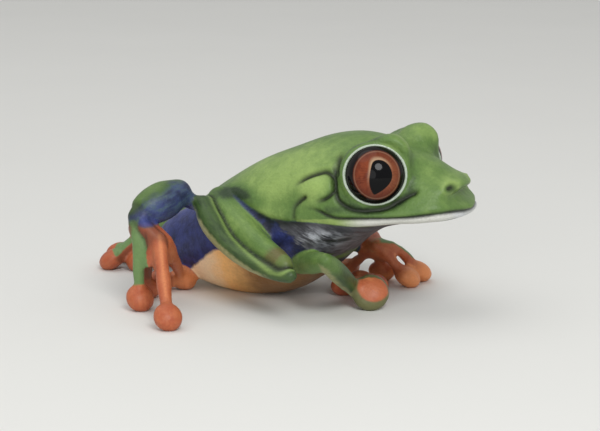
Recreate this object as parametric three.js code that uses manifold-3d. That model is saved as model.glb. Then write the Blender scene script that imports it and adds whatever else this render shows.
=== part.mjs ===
// Red-eyed tree frog (Agalychnis callidryas), life size, as a still museum model.
// It crouches on level ground: chest up on both hands, right hind leg folded against the flank with
// its foot standing on the toe discs, left hind leg trailing. Millimetres, +X to the snout, +Y to the
// frog's left, +Z up, with the origin on the ground under the middle of the whole animal.
import * as THREE from "three";
import { mergeVertices } from "three/addons/utils/BufferGeometryUtils.js";
import Module from "manifold-3d";

const wasm = await Module();
wasm.setup();

// ---------- driving dimensions ----------
const GAP = 0.24; // clear space left between neighbouring pieces
const ORIGIN = new THREE.Vector3(-4.36, -3.11, 0); // ground point that becomes the origin
const SNOUT_X = 23.5;
const VENT_X = -20.6;
const NECK_X = 3.6; // plane between head and trunk
const JAW_X = 4.6; // hinge end of the lower jaw
const MOUTH_Z = 11.6; // mouth line at the jaw hinge
const MOUTH_RISE = 0.12; // rise of the mouth line towards the snout, mm per mm
const EYE = { x: 12.95, y: 5.75, z: 17.75, radius: 3.95 };
// Raised skin round each eyeball: how far its centre lies ahead of, in from and below the
// eyeball's, and its half sizes.
const EYE_MOUND = { ahead: 0.65, inset: 1.0, sink: 0.3, long: 3.8, wide: 4.4, tall: 5.15 };
const LIDS = { radius: 3.7, azimuth: 0.44, elevation: 0.2 }; // opening and the way it faces, radians
// Toe discs: half width, half thickness, how far they lean (radians), how much longer than wide they
// are, and how deep the ground flattens them.
const DISC = { half: 1.85, thick: 1.3, lean: 0.55, stretch: 1.06, press: 0.16 };
// Digits: radius, the end's radius as a share of it, waist, thickness over width, and how high the
// last joint arches.
const DIGIT = { radius: 0.82, taper: 0.85, waist: -0.05, flat: 0.9, arch: 0.35 };
// Hand and foot: how far along towards the middle of the digits the palm reaches, how far along
// towards its disc a digit leaves it, and the palm's half breadth.
const HAND = { reach: 0.36, root: 0.34, breadth: 1.5 };
const FOOT = { reach: 0.28, root: 0.3, breadth: 2.0 };

// Cross-sections of the body from the snout back: x, half width, underside, widest level, back,
// squareness (2 is an ellipse) and pinch (how far the upper half leans in).
const STATIONS = [
  { x: 23.5, half: 3.7, belly: 12.7, wide: 13.7, back: 16.4, square: 2.3, pinch: 0.36 },
  { x: 22.0, half: 5.2, belly: 12.3, wide: 13.6, back: 17.8, square: 2.4, pinch: 0.4 },
  { x: 18.5, half: 7.0, belly: 11.9, wide: 13.2, back: 19.2, square: 2.5, pinch: 0.4 },
  { x: 14.0, half: 8.4, belly: 11.0, wide: 12.8, back: 21.0, square: 2.6, pinch: 0.34 },
  { x: 9.0, half: 9.0, belly: 8.2, wide: 12.4, back: 21.75, square: 2.4, pinch: 0.22 },
  { x: 4.5, half: 8.6, belly: 3.8, wide: 11.6, back: 21.25, square: 2.2, pinch: 0.1 },
  { x: 0.0, half: 7.9, belly: 0.9, wide: 9.6, back: 19.6, square: 2.1, pinch: 0 },
  { x: -5.0, half: 7.2, belly: -0.2, wide: 8.0, back: 17.45, square: 2.1, pinch: 0 },
  { x: -10.0, half: 6.2, belly: -0.1, wide: 6.8, back: 14.4, square: 2.0, pinch: 0 },
  { x: -14.5, half: 5.1, belly: 0.9, wide: 6.2, back: 11.2, square: 2.0, pinch: 0 },
  { x: -18.0, half: 4.2, belly: 2.3, wide: 5.8, back: 9.2, square: 2.0, pinch: 0 },
  { x: -20.6, half: 3.5, belly: 3.2, wide: 5.6, back: 8.2, square: 2.0, pinch: 0 },
];
const SNOUT_CAP = 2.6; // length over which the snout rounds off
const VENT_CAP = 4.2;

// Joints of each limb, and its digits, first digit first: where the disc meets the ground and, where
// they differ from the others', the knuckle it starts from, its radius, and its disc's lean, size and
// the way it faces.
const RIGHT = {
  shoulder: [3.6, -6.4, 5.6],
  elbow: [9.3, -11.85, 7.95],
  wrist: [8.8, -2.8, 2.4],
  fingers: [
    { at: [5.4, 2.0] },
    { at: [6.2, 5.2] },
    { at: [8.6, 4.4] },
    { at: [11.0, -2.5], lean: 0.9, half: 2.45, way: [0.43, -0.88] },
  ],
  hip: [-9.25, -4.6, 12.7],
  thigh_bow: [-2.1, -9.1, 8.1],
  thigh_knee: [4.2, -13.0, 7.2],
  knee: [5.65, -14.1, 6.1],
  shin_bow: [-4.6, -11.9, 6.0],
  heel: [-10.0, -7.5, 12.5],
  tarsus: [-13.1, -8.6, 13.7],
  ankle: [-15.9, -14.9, 11.7],
  toes: [
    { at: [-16.7, -10.4], knuckle: [-14.8, -13.7, 8.5] },
    { at: [-17.1, -6.4], knuckle: [-13.2, -13.0, 8.5] },
    { at: [-14.9, -4.3], knuckle: [-11.9, -13.1, 8.6] },
    { at: [-6.8, -22.4], knuckle: [-12.0, -15.2, 9.0], radius: 1.0, lean: 0.8 },
    { at: [-14.5, -15.9], knuckle: [-15.0, -15.5, 8.9], lean: 0.8 },
  ],
};
const LEFT = {
  shoulder: [3.6, 6.4, 5.6],
  elbow: [2.6, 13.6, 6.4],
  wrist: [7.2, 8.0, 5.6],
  fingers: [
    { at: [1.8, 10.4] },
    { at: [6.5, 11.4] },
    { at: [10.9, 13.4], knuckle: [8.7, 9.5, 5.4] },
    { at: [10.8, 9.9] },
  ],
  hip: [-13.2, 3.9, 8.4],
  thigh_bow: [-7.4, 9.9, 7.3],
  thigh_knee: [-1.4, 15.6, 5.6],
  knee: [-2.2, 17.2, 4.1],
  shin_bow: [-10.6, 12.4, 5.0],
  heel: [-19.0, 7.6, 6.8],
  tarsus: [-21.0, 6.4, 6.6],
  ankle: [-25.0, 3.2, 5.4],
  toes: [
    { at: [-22.6, 8.2] },
    { at: [-26.4, 6.8] },
    { at: [-25.4, 2.6] },
    { at: [-29.1, 1.5] },
    { at: [-30.5, 5.6] },
  ],
};

// Radii along each limb piece: at its start, at its end, the muscle between, and the ratio of
// thickness to width.
const LIMBS = {
  upper_arm: { start: 1.5, end: 1.1, bulge: 0.1, flat: 1.0 },
  forearm: { start: 1.1, end: 1.1, bulge: 0.2, flat: 0.95 },
  thigh: { start: 1.7, end: 1.35, bulge: 0.15, flat: 1.0 },
  shin: { start: 1.05, end: 1.2, bulge: 0, flat: 1.0 },
  tarsus: { start: 1.95, end: 1.25, bulge: 0.8, flat: 1.0 },
  heel_link: { start: 0.95, end: 0.95, bulge: 0, flat: 1.0 },
  palm_ray: { start: 0.95, end: 0.95, bulge: 0, flat: 0.95 },
};
const PALM = { start: 1.2, bulge: 0.1, flat: 0.6 };

// ---------- small tools ----------
const vec = (p) => new THREE.Vector3(p[0], p[1], p[2] ?? 0);
const mix = THREE.MathUtils.lerp;

// A closed geometry made a manifold-3d solid.
function solidFrom(geometry) {
  geometry.deleteAttribute("normal");
  geometry.deleteAttribute("uv");
  const merged = mergeVertices(geometry, 1e-4);
  return new wasm.Manifold(
    new wasm.Mesh({
      numProp: 3,
      vertProperties: merged.attributes.position.array,
      triVerts: new Uint32Array(merged.index.array),
    }),
  );
}

// A manifold-3d solid made a geometry again.
function geometryFrom(solid) {
  const mesh = solid.getMesh();
  const geometry = new THREE.BufferGeometry();
  geometry.setAttribute("position", new THREE.BufferAttribute(mesh.vertProperties, 3));
  geometry.setIndex(new THREE.BufferAttribute(mesh.triVerts, 1));
  const flat = geometry.toNonIndexed();
  flat.computeVertexNormals();
  return flat;
}

// A sphere whose every vertex is placed anew by place(share along, angle round): poles at 0 and 1.
function blob(around, along, place) {
  const sphere = new THREE.SphereGeometry(1, around, along);
  const spots = sphere.getAttribute("position");
  const from = new THREE.Vector3();
  for (let i = 0; i < spots.count; i++) {
    from.fromBufferAttribute(spots, i);
    const share = (1 - from.y) / 2;
    const pole = Math.hypot(from.x, from.z) < 1e-6;
    const to = place(share, pole ? 0 : Math.atan2(-from.z, from.x), pole);
    spots.setXYZ(i, to.x, to.y, to.z);
  }
  return solidFrom(sphere);
}

// Cubic through the stations (Hermite, slopes by central differences) of one named size, at x.
function sized(key, x) {
  const last = STATIONS.length - 1;
  let i = 0;
  while (i < last - 1 && x < STATIONS[i + 1].x) i++;
  const slope = (k) => {
    const a = STATIONS[Math.max(k - 1, 0)];
    const b = STATIONS[Math.min(k + 1, last)];
    return (b[key] - a[key]) / (b.x - a.x);
  };
  const [p, q] = [STATIONS[i], STATIONS[i + 1]];
  const span = q.x - p.x;
  const t = (x - p.x) / span;
  const [t2, t3] = [t * t, t * t * t];
  return (
    (2 * t3 - 3 * t2 + 1) * p[key] + (t3 - 2 * t2 + t) * span * slope(i) +
    (3 * t2 - 2 * t3) * q[key] + (t3 - t2) * span * slope(i + 1)
  );
}

const signedPower = (value, power) => Math.sign(value) * Math.abs(value) ** power;

// The body as one closed loft of superellipses from snout to vent, grown outwards by extra.
function bodyLoft(extra = 0) {
  return blob(22, 27, (share, angle, pole) => {
    const x = mix(SNOUT_X + extra, VENT_X - extra, share);
    const nose = Math.max(0, (x - (SNOUT_X - SNOUT_CAP)) / (SNOUT_CAP + extra));
    const tail = Math.max(0, (VENT_X + VENT_CAP - x) / (VENT_CAP + extra));
    const cap = pole ? 0 : Math.sqrt(Math.max(0, 1 - Math.max(nose, tail) ** 2.4));
    const at = THREE.MathUtils.clamp(x, VENT_X, SNOUT_X);
    const wide = sized("wide", at);
    const reach = Math.sin(angle) > 0 ? sized("back", at) - wide : wide - sized("belly", at);
    const power = 2 / sized("square", at);
    const lean = 1 - sized("pinch", at) * Math.max(0, Math.sin(angle)) ** 1.3;
    const y = (sized("half", at) * lean + extra) * signedPower(Math.cos(angle), power) * cap;
    const z = wide + (reach + extra) * signedPower(Math.sin(angle), power) * cap;
    return new THREE.Vector3(x, y, z);
  });
}

// A fleshy tube along the curve start, via, end: round ends, radii from start to end with a bulge.
function limb(start, via, end, shape, extra = 0, around = 8, along = 6) {
  const path = new THREE.QuadraticBezierCurve3(start, via, end);
  const length = path.getLength();
  const up = new THREE.Vector3(0, 0, 1);
  return blob(around, along, (share, angle, pole) => {
    const reach = mix(-shape.start - extra, length + shape.end + extra, share);
    const t = THREE.MathUtils.clamp(reach / length, 0, 1);
    const along3 = path.getTangent(t);
    const side = along3.clone().cross(up).normalize();
    const over = side.clone().cross(along3).normalize();
    const radius = mix(shape.start, shape.end, t) + shape.bulge * 4 * t * (1 - t);
    const past = Math.max(-reach / (shape.start + extra), (reach - length) / (shape.end + extra), 0);
    const round = pole ? 0 : Math.sqrt(Math.max(0, 1 - past * past));
    const spot = path.getPoint(t).addScaledVector(along3, reach - t * length);
    spot.addScaledVector(side, (radius + extra) * Math.cos(angle) * round);
    return spot.addScaledVector(over, (radius * shape.flat + extra) * Math.sin(angle) * round);
  });
}

const straight = (a, b, shape, extra) => limb(a, a.clone().lerp(b, 0.5), b, shape, extra);

// An upright ellipsoid.
function ellipsoid(centre, radii, extra = 0, around = 10, along = 7) {
  const sphere = new THREE.SphereGeometry(1, around, along);
  sphere.rotateX(Math.PI / 2);
  sphere.scale(radii.x + extra, radii.y + extra, radii.z + extra);
  sphere.translate(centre.x, centre.y, centre.z);
  return solidFrom(sphere);
}

// ---------- pieces: each is a function of how far it is grown ----------
const eyeSpot = (side) => new THREE.Vector3(EYE.x, side * EYE.y, EYE.z);
const eyeball = (side) => (extra) =>
  ellipsoid(eyeSpot(side), new THREE.Vector3().setScalar(EYE.radius), extra, 16, 10);

function wholeBody(extra) {
  let whole = bodyLoft(extra);
  for (const side of [-1, 1]) {
    const { ahead, inset, sink, long, wide, tall } = EYE_MOUND;
    const mound = eyeSpot(side).add(new THREE.Vector3(ahead, -side * inset, -sink));
    whole = whole.add(ellipsoid(mound, new THREE.Vector3(long, wide, tall), extra, 12, 9));
  }
  return whole;
}

// The round opening between the lids: a cylinder from the eyeball's centre outwards.
function lidOpening(side) {
  const open = new THREE.CylinderGeometry(LIDS.radius, LIDS.radius, 8, 14);
  open.translate(0, 4, 0);
  const out = new THREE.Vector3(
    Math.sin(LIDS.azimuth) * Math.cos(LIDS.elevation),
    side * Math.cos(LIDS.azimuth) * Math.cos(LIDS.elevation),
    Math.sin(LIDS.elevation),
  );
  open.applyQuaternion(new THREE.Quaternion().setFromUnitVectors(new THREE.Vector3(0, 1, 0), out));
  const spot = eyeSpot(side);
  open.translate(spot.x, spot.y, spot.z);
  return solidFrom(open);
}

// Everything below the mouth line and ahead of the jaw hinge, as a slanted block.
function jawBlock(extra) {
  const block = new THREE.BoxGeometry(40, 40, 20);
  block.translate(20, 0, -10);
  block.rotateY(-Math.atan(MOUTH_RISE));
  block.translate(JAW_X - extra, 0, MOUTH_Z + extra);
  return solidFrom(block);
}

const headPiece = (extra) =>
  wholeBody(extra)
    .trimByPlane([1, 0, 0], NECK_X - extra)
    .subtract(jawBlock(GAP))
    .subtract(lidOpening(-1))
    .subtract(lidOpening(1));
const jawPiece = (extra) => bodyLoft(extra).intersect(jawBlock(0));
const trunkPiece = (extra) => wholeBody(extra).trimByPlane([-1, 0, 0], -(NECK_X - GAP) - extra);

// A toe disc: an ellipsoid leaning down along the digit's heading, resting on its lower rim.
function pad(spot, heading, lean, half, extra) {
  const sphere = new THREE.SphereGeometry(1, 8, 5);
  sphere.rotateX(Math.PI / 2);
  sphere.scale(half * DISC.stretch + extra, half + extra, DISC.thick + extra);
  sphere.rotateY(lean);
  sphere.rotateZ(Math.atan2(heading.y, heading.x));
  sphere.translate(spot.x, spot.y, spot.z);
  return solidFrom(sphere);
}

// Where a digit leaves the hand or foot, where its disc sits and how far the disc leans.
function digitPath(root, spot, share) {
  const { at, knuckle, lean = DISC.lean, half = DISC.half, radius = DIGIT.radius } = spot;
  const { way = [at[0] - root.x, at[1] - root.y] } = spot;
  const heading = vec(way).normalize();
  const low = Math.hypot(half * DISC.stretch * Math.sin(lean), DISC.thick * Math.cos(lean));
  const tip = new THREE.Vector3(at[0], at[1], low - DISC.press);
  const base = knuckle ? vec(knuckle) : root.clone().lerp(tip, share);
  const via = base.clone().lerp(tip, 0.55);
  via.z = Math.max(tip.z, mix(base.z, tip.z, 0.72)) + DIGIT.arch;
  return { base, via, tip, heading, lean, half, radius };
}

const digit = (root, spot, share) => (extra) => {
  const { base, via, tip, heading, lean, half, radius } = digitPath(root, spot, share);
  const shape = { start: radius, end: radius * DIGIT.taper, bulge: DIGIT.waist, flat: DIGIT.flat };
  return limb(base, via, tip, shape, extra, 6, 4).add(pad(tip, heading, lean, half, extra));
};

// The palm or sole: from the wrist or ankle towards the middle of the digits, widening and thin,
// with a short ray out to the root of each digit.
const palm = (root, spots, { reach, root: share, breadth }) => (extra) => {
  const middle = new THREE.Vector3();
  spots.forEach((spot) => middle.add(vec([spot.at[0], spot.at[1], DISC.thick])));
  middle.divideScalar(spots.length);
  const end = root.clone().lerp(middle, reach);
  let whole = straight(root, end, { ...PALM, end: breadth }, extra);
  for (const spot of spots) {
    const { base } = digitPath(root, spot, share);
    const bend = root.clone().lerp(base, 0.5);
    whole = whole.add(limb(root, bend, base, LIMBS.palm_ray, extra, 6, 3));
  }
  return whole;
};

// ---------- the list of nodes, with what each one makes room for ----------
const COLOURS = {
  back: [0x58a63a, 0.42],
  flank: [0x3b8a2e, 0.45],
  digit: [0xe2622a, 0.45],
  eye: [0x9c2a12, 0.08],
  jaw: [0xe9e6d6, 0.5],
};
const pieces = [
  { name: "right_eye", make: eyeball(-1), colour: "eye", room: [] },
  { name: "left_eye", make: eyeball(1), colour: "eye", room: [] },
  { name: "head", make: headPiece, colour: "back", room: ["right_eye", "left_eye"] },
  { name: "lower_jaw", make: jawPiece, colour: "jaw", room: [] },
  { name: "trunk", make: trunkPiece, colour: "back", room: ["lower_jaw"] },
];

function addLimb(side, joints) {
  const j = {};
  for (const [name, value] of Object.entries(joints)) {
    if (typeof value[0] === "number") j[name] = vec(value);
  }
  const chest = ["trunk", "head", "lower_jaw"];
  const add = (name, make, colour, room) =>
    pieces.push({ name: `${side}_${name}`, make, colour, room });
  const own = (...names) => names.map((name) => `${side}_${name}`);

  add("upper_arm", (e) => straight(j.shoulder, j.elbow, LIMBS.upper_arm, e), "back", chest);
  add("forearm", (e) => straight(j.elbow, j.wrist, LIMBS.forearm, e), "back",
    [...chest, ...own("upper_arm")]);
  add("hand", palm(j.wrist, joints.fingers, HAND), "digit",
    [...chest, ...own("forearm", "upper_arm")]);
  joints.fingers.forEach((spot, i) => {
    const before = joints.fingers.slice(0, i).map((_, k) => `finger_${k + 1}`);
    add(`finger_${i + 1}`, digit(j.wrist, spot, HAND.root), "digit",
      [...chest, ...own("forearm", "hand", ...before)]);
  });

  add("thigh", (e) => limb(j.hip, j.thigh_bow, j.thigh_knee, LIMBS.thigh, e), "back",
    [...chest, ...own("upper_arm", "forearm")]);
  add("shin", (e) => limb(j.knee, j.shin_bow, j.heel, LIMBS.shin, e), "back",
    [...chest, ...own("thigh", "upper_arm", "forearm")]);
  const inward = new THREE.Vector3(-0.4, side === "right" ? 0.8 : -0.8, -0.7);
  const heelEnds = [j.tarsus, j.heel].map((spot) => spot.clone().add(inward));
  const tarsus = (e) =>
    straight(j.tarsus, j.ankle, LIMBS.tarsus, e).add(straight(...heelEnds, LIMBS.heel_link, e));
  add("tarsus", tarsus, "flank", [...chest, ...own("thigh", "shin")]);
  add("foot", palm(j.ankle, joints.toes, FOOT), "digit",
    [...chest, ...own("thigh", "shin", "tarsus")]);
  joints.toes.forEach((spot, i) => {
    const before = joints.toes.slice(0, i).map((_, k) => `toe_${k + 1}`);
    add(`toe_${i + 1}`, digit(j.ankle, spot, FOOT.root), "digit",
      [...chest, ...own("tarsus", "shin", "foot", ...before)]);
  });
}

addLimb("right", RIGHT);
addLimb("left", LEFT);

// ---------- assembly ----------
const frog = new THREE.Group();
frog.position.copy(ORIGIN).negate();
const makers = new Map(pieces.map((piece) => [piece.name, piece.make]));
for (const piece of pieces) {
  let solid = piece.make(0);
  for (const other of piece.room) solid = solid.subtract(makers.get(other)(GAP));
  solid = solid.trimByPlane([0, 0, 1], 0);
  const parts = solid.decompose().sort((a, b) => b.volume() - a.volume());
  const [colour, roughness] = COLOURS[piece.colour];
  const material = new THREE.MeshStandardMaterial({ color: colour, roughness, metalness: 0 });
  const mesh = new THREE.Mesh(geometryFrom(parts[0]), material);
  mesh.name = piece.name;
  frog.add(mesh);
}

export default frog;
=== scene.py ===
"""Life-size museum model of a crouching red-eyed tree frog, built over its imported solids.

The frog's own millimetres run +X to the snout, +Y to its left and +Z up. Every shape is worked out in
them as whole arrays, then carried into the frame, in metres, by the place of the right eye.
"""
import contextlib
import math

import bmesh
import bpy
import numpy as np
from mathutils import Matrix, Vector


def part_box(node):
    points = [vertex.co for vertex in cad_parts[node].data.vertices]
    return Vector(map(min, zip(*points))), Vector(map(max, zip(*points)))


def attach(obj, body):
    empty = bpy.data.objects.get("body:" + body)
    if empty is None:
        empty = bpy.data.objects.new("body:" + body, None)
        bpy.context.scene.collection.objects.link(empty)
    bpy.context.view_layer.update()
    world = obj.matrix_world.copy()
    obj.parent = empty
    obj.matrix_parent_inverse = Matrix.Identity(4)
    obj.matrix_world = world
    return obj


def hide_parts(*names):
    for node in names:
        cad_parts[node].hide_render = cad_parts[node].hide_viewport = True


bl_info = {
    "name": "Red-Eyed Tree Frog Model",
    "version": (1, 0, 0),
    "blender": (4, 5, 0),
    "location": "View3D > Sidebar > Frog",
    "description": "Skin, eyes and lids of a crouching tree frog, with its studio",
    "category": "Add Mesh",
}

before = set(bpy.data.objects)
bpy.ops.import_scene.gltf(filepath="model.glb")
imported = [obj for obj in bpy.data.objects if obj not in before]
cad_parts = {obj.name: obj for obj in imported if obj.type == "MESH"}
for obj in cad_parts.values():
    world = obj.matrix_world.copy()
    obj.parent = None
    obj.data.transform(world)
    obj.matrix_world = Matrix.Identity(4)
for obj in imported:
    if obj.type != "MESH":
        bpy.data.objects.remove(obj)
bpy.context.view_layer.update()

# ---------- the frog's build, in its own millimetres ----------
EYE = np.array((12.95, 5.75, 17.75))  # left eye; the right one is its mirror image
EYE_RADIUS = 3.95
SOCKET_RADIUS = 4.4  # the skin round each eyeball
LIDS, GAZE = (0.44, 0.2), (0.5, 0.19)  # turned ahead of the frog's side, and up, in radians
SNOUT_X, VENT_X = 23.5, -20.6
HEAD_X, HEAD_Z = 4, 9.6  # ahead of this and above it the skin is finer
SNOUT_CAP, VENT_CAP, CAP_POWER = 2.6, 4.2, 2.4
PINCH_POWER = 1.3
DISC = {"half": 1.85, "lean": 0.55, "radius": 0.82}
DISC_THICK = 1.3
DISC_LONG = 1.04  # the share by which a disc is longer than wide
DISC_RIM = 1.06  # the reach of its squared rim, as a share of its half width
DISC_SUNK = 0.16  # how far it is pressed flat on the floor
DIGIT_BEND = 0.55  # the share along a digit at which it is bent
DIGIT_FALL, DIGIT_ARCH = 0.72, 0.35  # how far down its slope the bend lies, and how far over that
BULGE_AT, BULGE_HALF = (0.95, -1.0, -0.3), (3.4, 4.3, 5.3)  # flesh before and under each eye
LOOK_AT = (0, 0, 10.4)  # what camera and lights are turned to
FLOOR_REACH = 1.5  # metres

# Cross-sections from vent to snout: x, half width, underside, widest level, back, squareness, pinch.
STATIONS = np.array((
    (-20.6, 3.5, 3.2, 5.6, 8.2, 2.0, 0),
    (-18.0, 4.2, 2.3, 5.8, 9.2, 2.0, 0),
    (-14.5, 5.1, 0.9, 6.2, 11.2, 2.0, 0),
    (-10.0, 6.2, -0.1, 6.8, 14.4, 2.0, 0),
    (-5.0, 7.2, -0.2, 8.0, 17.45, 2.1, 0),
    (0.0, 7.9, 0.9, 9.6, 19.6, 2.1, 0),
    (4.5, 8.6, 3.8, 11.6, 21.25, 2.2, 0.1),
    (9.0, 9.0, 8.2, 12.4, 21.75, 2.4, 0.22),
    (14.0, 8.4, 11.0, 12.8, 21.0, 2.6, 0.34),
    (18.5, 7.0, 11.9, 13.2, 19.2, 2.5, 0.4),
    (22.0, 5.2, 12.3, 13.6, 17.8, 2.4, 0.4),
    (23.5, 3.7, 12.7, 13.7, 16.4, 2.3, 0.36),
))

# Joints of each side's limbs. A digit has the place of its disc and, where they differ from the
# others', the knuckle it starts from, its radius, and its disc's half width, lean and way it faces.
RIGHT = {
    "shoulder": (3.6, -6.4, 5.6), "elbow": (9.3, -11.85, 7.95), "wrist": (8.8, -2.8, 2.4),
    "hip": (-9.25, -4.6, 12.7), "thigh_bow": (-2.1, -9.1, 8.1), "thigh_knee": (4.2, -13.0, 7.2),
    "knee": (5.65, -14.1, 6.1), "shin_bow": (-4.9, -11.8, 6.0), "heel": (-10.0, -7.5, 12.5),
    "tarsus": (-13.1, -8.6, 13.7), "ankle": (-15.9, -14.9, 11.7), "heel_in": (-0.4, 0.8, -0.7),
    "fingers": (
        {"at": (5.4, 2.0)}, {"at": (6.2, 5.2)}, {"at": (8.6, 4.4)},
        {"at": (11.0, -2.5), "lean": 0.9, "half": 2.45, "way": (0.43, -0.88)},
    ),
    "toes": (
        {"at": (-16.7, -10.4), "knuckle": (-14.8, -13.7, 8.5)},
        {"at": (-17.1, -6.4), "knuckle": (-13.2, -13.0, 8.5)},
        {"at": (-14.9, -4.3), "knuckle": (-11.9, -13.1, 8.6)},
        {"at": (-6.8, -22.4), "knuckle": (-12.0, -15.2, 9.0), "radius": 1.0, "lean": 0.8},
        {"at": (-14.5, -15.9), "knuckle": (-15.0, -15.5, 8.9), "lean": 0.8},
    ),
}
LEFT = {
    "shoulder": (3.6, 6.4, 5.6), "elbow": (2.6, 13.6, 6.4), "wrist": (7.2, 8.0, 5.6),
    "hip": (-13.2, 3.9, 8.4), "thigh_bow": (-7.4, 9.9, 7.3), "thigh_knee": (-1.4, 15.6, 5.6),
    "knee": (-2.2, 17.2, 4.1), "shin_bow": (-10.6, 12.4, 5.0), "heel": (-19.0, 7.6, 6.8),
    "tarsus": (-21.0, 6.4, 6.6), "ankle": (-25.0, 3.2, 5.4), "heel_in": (-0.4, -0.8, -0.7),
    "fingers": (
        {"at": (1.8, 10.4)}, {"at": (6.5, 11.4)},
        {"at": (10.9, 13.4), "knuckle": (8.7, 9.5, 5.4), "arch": 1.0}, {"at": (10.8, 9.9)},
    ),
    "toes": (
        {"at": (-22.6, 8.2)}, {"at": (-26.4, 6.8)}, {"at": (-25.4, 2.6)}, {"at": (-29.1, 1.5)},
        {"at": (-30.5, 5.6)},
    ),
}


def middle(node):
    """The middle of a CAD node's box, in millimetres of the frame."""
    low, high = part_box(node)
    return (np.array(low) + np.array(high)) * 500


SHIFT = middle("right_eye") - EYE * (1, -1, 1)


def to_frame(points):
    """The frog's millimetres as metres of the frame."""
    return (np.asarray(points) + SHIFT) / 1000


# ---------- curves and grids ----------
def turns(count):
    """Angles once round, in radians."""
    return np.linspace(0, 2 * math.pi, count, endpoint=False)


def smooth(value, low, high):
    """0 below low and 1 above high, with the cubic 3t squared less 2t cubed between them."""
    t = np.clip((value - low) / (high - low), 0, 1)
    return t * t * (3 - 2 * t)


def hermite(table, at):
    """Rows of table are a rising place and its values. Between two rows each value follows the cubic
    whose slope at a row is that of the line through its two neighbours."""
    table = np.asarray(table, float)
    place, values = table[:, 0], table[:, 1:]
    row = np.arange(len(place))
    after, before = np.minimum(row + 1, row[-1]), np.maximum(row - 1, 0)
    slope = (values[after] - values[before]) / (place[after] - place[before])[:, None]
    at = np.clip(np.atleast_1d(at), place[0], place[-1])
    i = np.clip(np.searchsorted(place, at) - 1, 0, len(place) - 2)
    span = (place[i + 1] - place[i])[:, None]
    t = ((at - place[i])[:, None]) / span
    return (
        (2 * t**3 - 3 * t**2 + 1) * values[i]
        + (t**3 - 2 * t**2 + t) * span * slope[i]
        + (3 * t**2 - 2 * t**3) * values[i + 1]
        + (t**3 - t**2) * span * slope[i + 1]
    )


def bezier(start, via, end, count=65):
    """Points of the quadratic curve that leaves start towards via and arrives at end from it."""
    t = np.linspace(0, 1, count)[:, None]
    a, b, c = (np.asarray(p, float) for p in (start, via, end))
    return (1 - t) ** 2 * a + 2 * t * (1 - t) * b + t**2 * c


def straight(start, end):
    """Points of the straight line from start to end."""
    return bezier(start, (np.add(start, end)) / 2, end)


def travelled(line):
    """Distance along a line of points, at each point."""
    return np.append(0, np.cumsum(np.linalg.norm(np.diff(line, axis=0), axis=1)))


def sampled(line, places, at):
    """The line's points at other places, straight between the places of its own."""
    return np.stack([np.interp(at, places, line[:, k]) for k in range(3)], -1)


def unit(vectors):
    """Vectors at length 1."""
    return vectors / np.maximum(np.linalg.norm(vectors, axis=-1, keepdims=True), 1e-9)


def frames(line):
    """At each point of a line: its direction, the level way to its side, and the way over it."""
    ahead = unit(np.gradient(line, axis=0))
    side = unit(np.cross(ahead, (0.0, 0.0, 1.0)))
    return ahead, side, np.cross(side, ahead)


def tube(line, radii, around=28, step=0.3):
    """An ellipse carried along a line, closed by a half ball at each end. radii is a table of share
    along the line, half width and half height; the point at angle a is the centre plus half width
    times cos a to the side plus half height times sin a over the line."""
    far = travelled(line)
    shares = np.linspace(0, 1, max(6, int(far[-1] / step)))
    opening = np.linspace(0, math.pi / 2, 7)[:-1]
    closing = opening + math.pi / 12
    share = np.concatenate((0 * opening, shares, 1 + 0 * closing))
    shrink = np.concatenate((np.sin(opening), 1 + 0 * shares, np.cos(closing)))
    past = np.concatenate((-np.cos(opening), 0 * shares, np.sin(closing)))
    ahead, side, over = (unit(sampled(v, far, share * far[-1])) for v in frames(line))
    size = hermite(radii, share)
    centre = sampled(line, far, share * far[-1]) + ahead * (past * size.min(1))[:, None]
    angle = turns(around)
    wide = (size[:, 0] * shrink)[:, None, None] * np.cos(angle)[None, :, None] * side[:, None]
    high = (size[:, 1] * shrink)[:, None, None] * np.sin(angle)[None, :, None] * over[:, None]
    return centre[:, None] + wide + high


def ellipsoid(centre, half, around=40, rows=28):
    """Rings of an upright ellipsoid from its top to its bottom."""
    down = np.linspace(0.02, math.pi - 0.02, rows)[:, None]
    angle = turns(around)[None]
    rings = np.stack(
        (np.sin(down) * np.cos(angle), np.sin(down) * np.sin(angle), np.cos(down) + 0 * angle), 2
    )
    return rings * half + centre


def quads(rows, around, ring_rows=0, ring_columns=1):
    """Faces between neighbours in a grid of points. A 1 joins the last row or column to the first."""
    i, k = np.meshgrid(
        np.arange(rows - 1 + ring_rows), np.arange(around - 1 + ring_columns), indexing="ij"
    )
    below, after = (i + 1) % rows * around, (k + 1) % around
    return np.stack((i * around + k, i * around + after, below + after, below + k), -1).reshape(-1, 4)


def closed(rings):
    """A surface of rings, each end shut by a fan to its middle, as points and faces."""
    rows, around = rings.shape[:2]
    points = np.concatenate((rings.reshape(-1, 3), rings[0].mean(0)[None], rings[-1].mean(0)[None]))
    ring = np.arange(around)
    onward, last_ring = (ring + 1) % around, (rows - 1) * around
    start = np.stack((onward, ring, rows * around + 0 * ring), 1)
    end = np.stack((last_ring + ring, last_ring + onward, rows * around + 1 + 0 * ring), 1)
    return points, [*quads(rows, around).tolist(), *start.tolist(), *end.tolist()]


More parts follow.
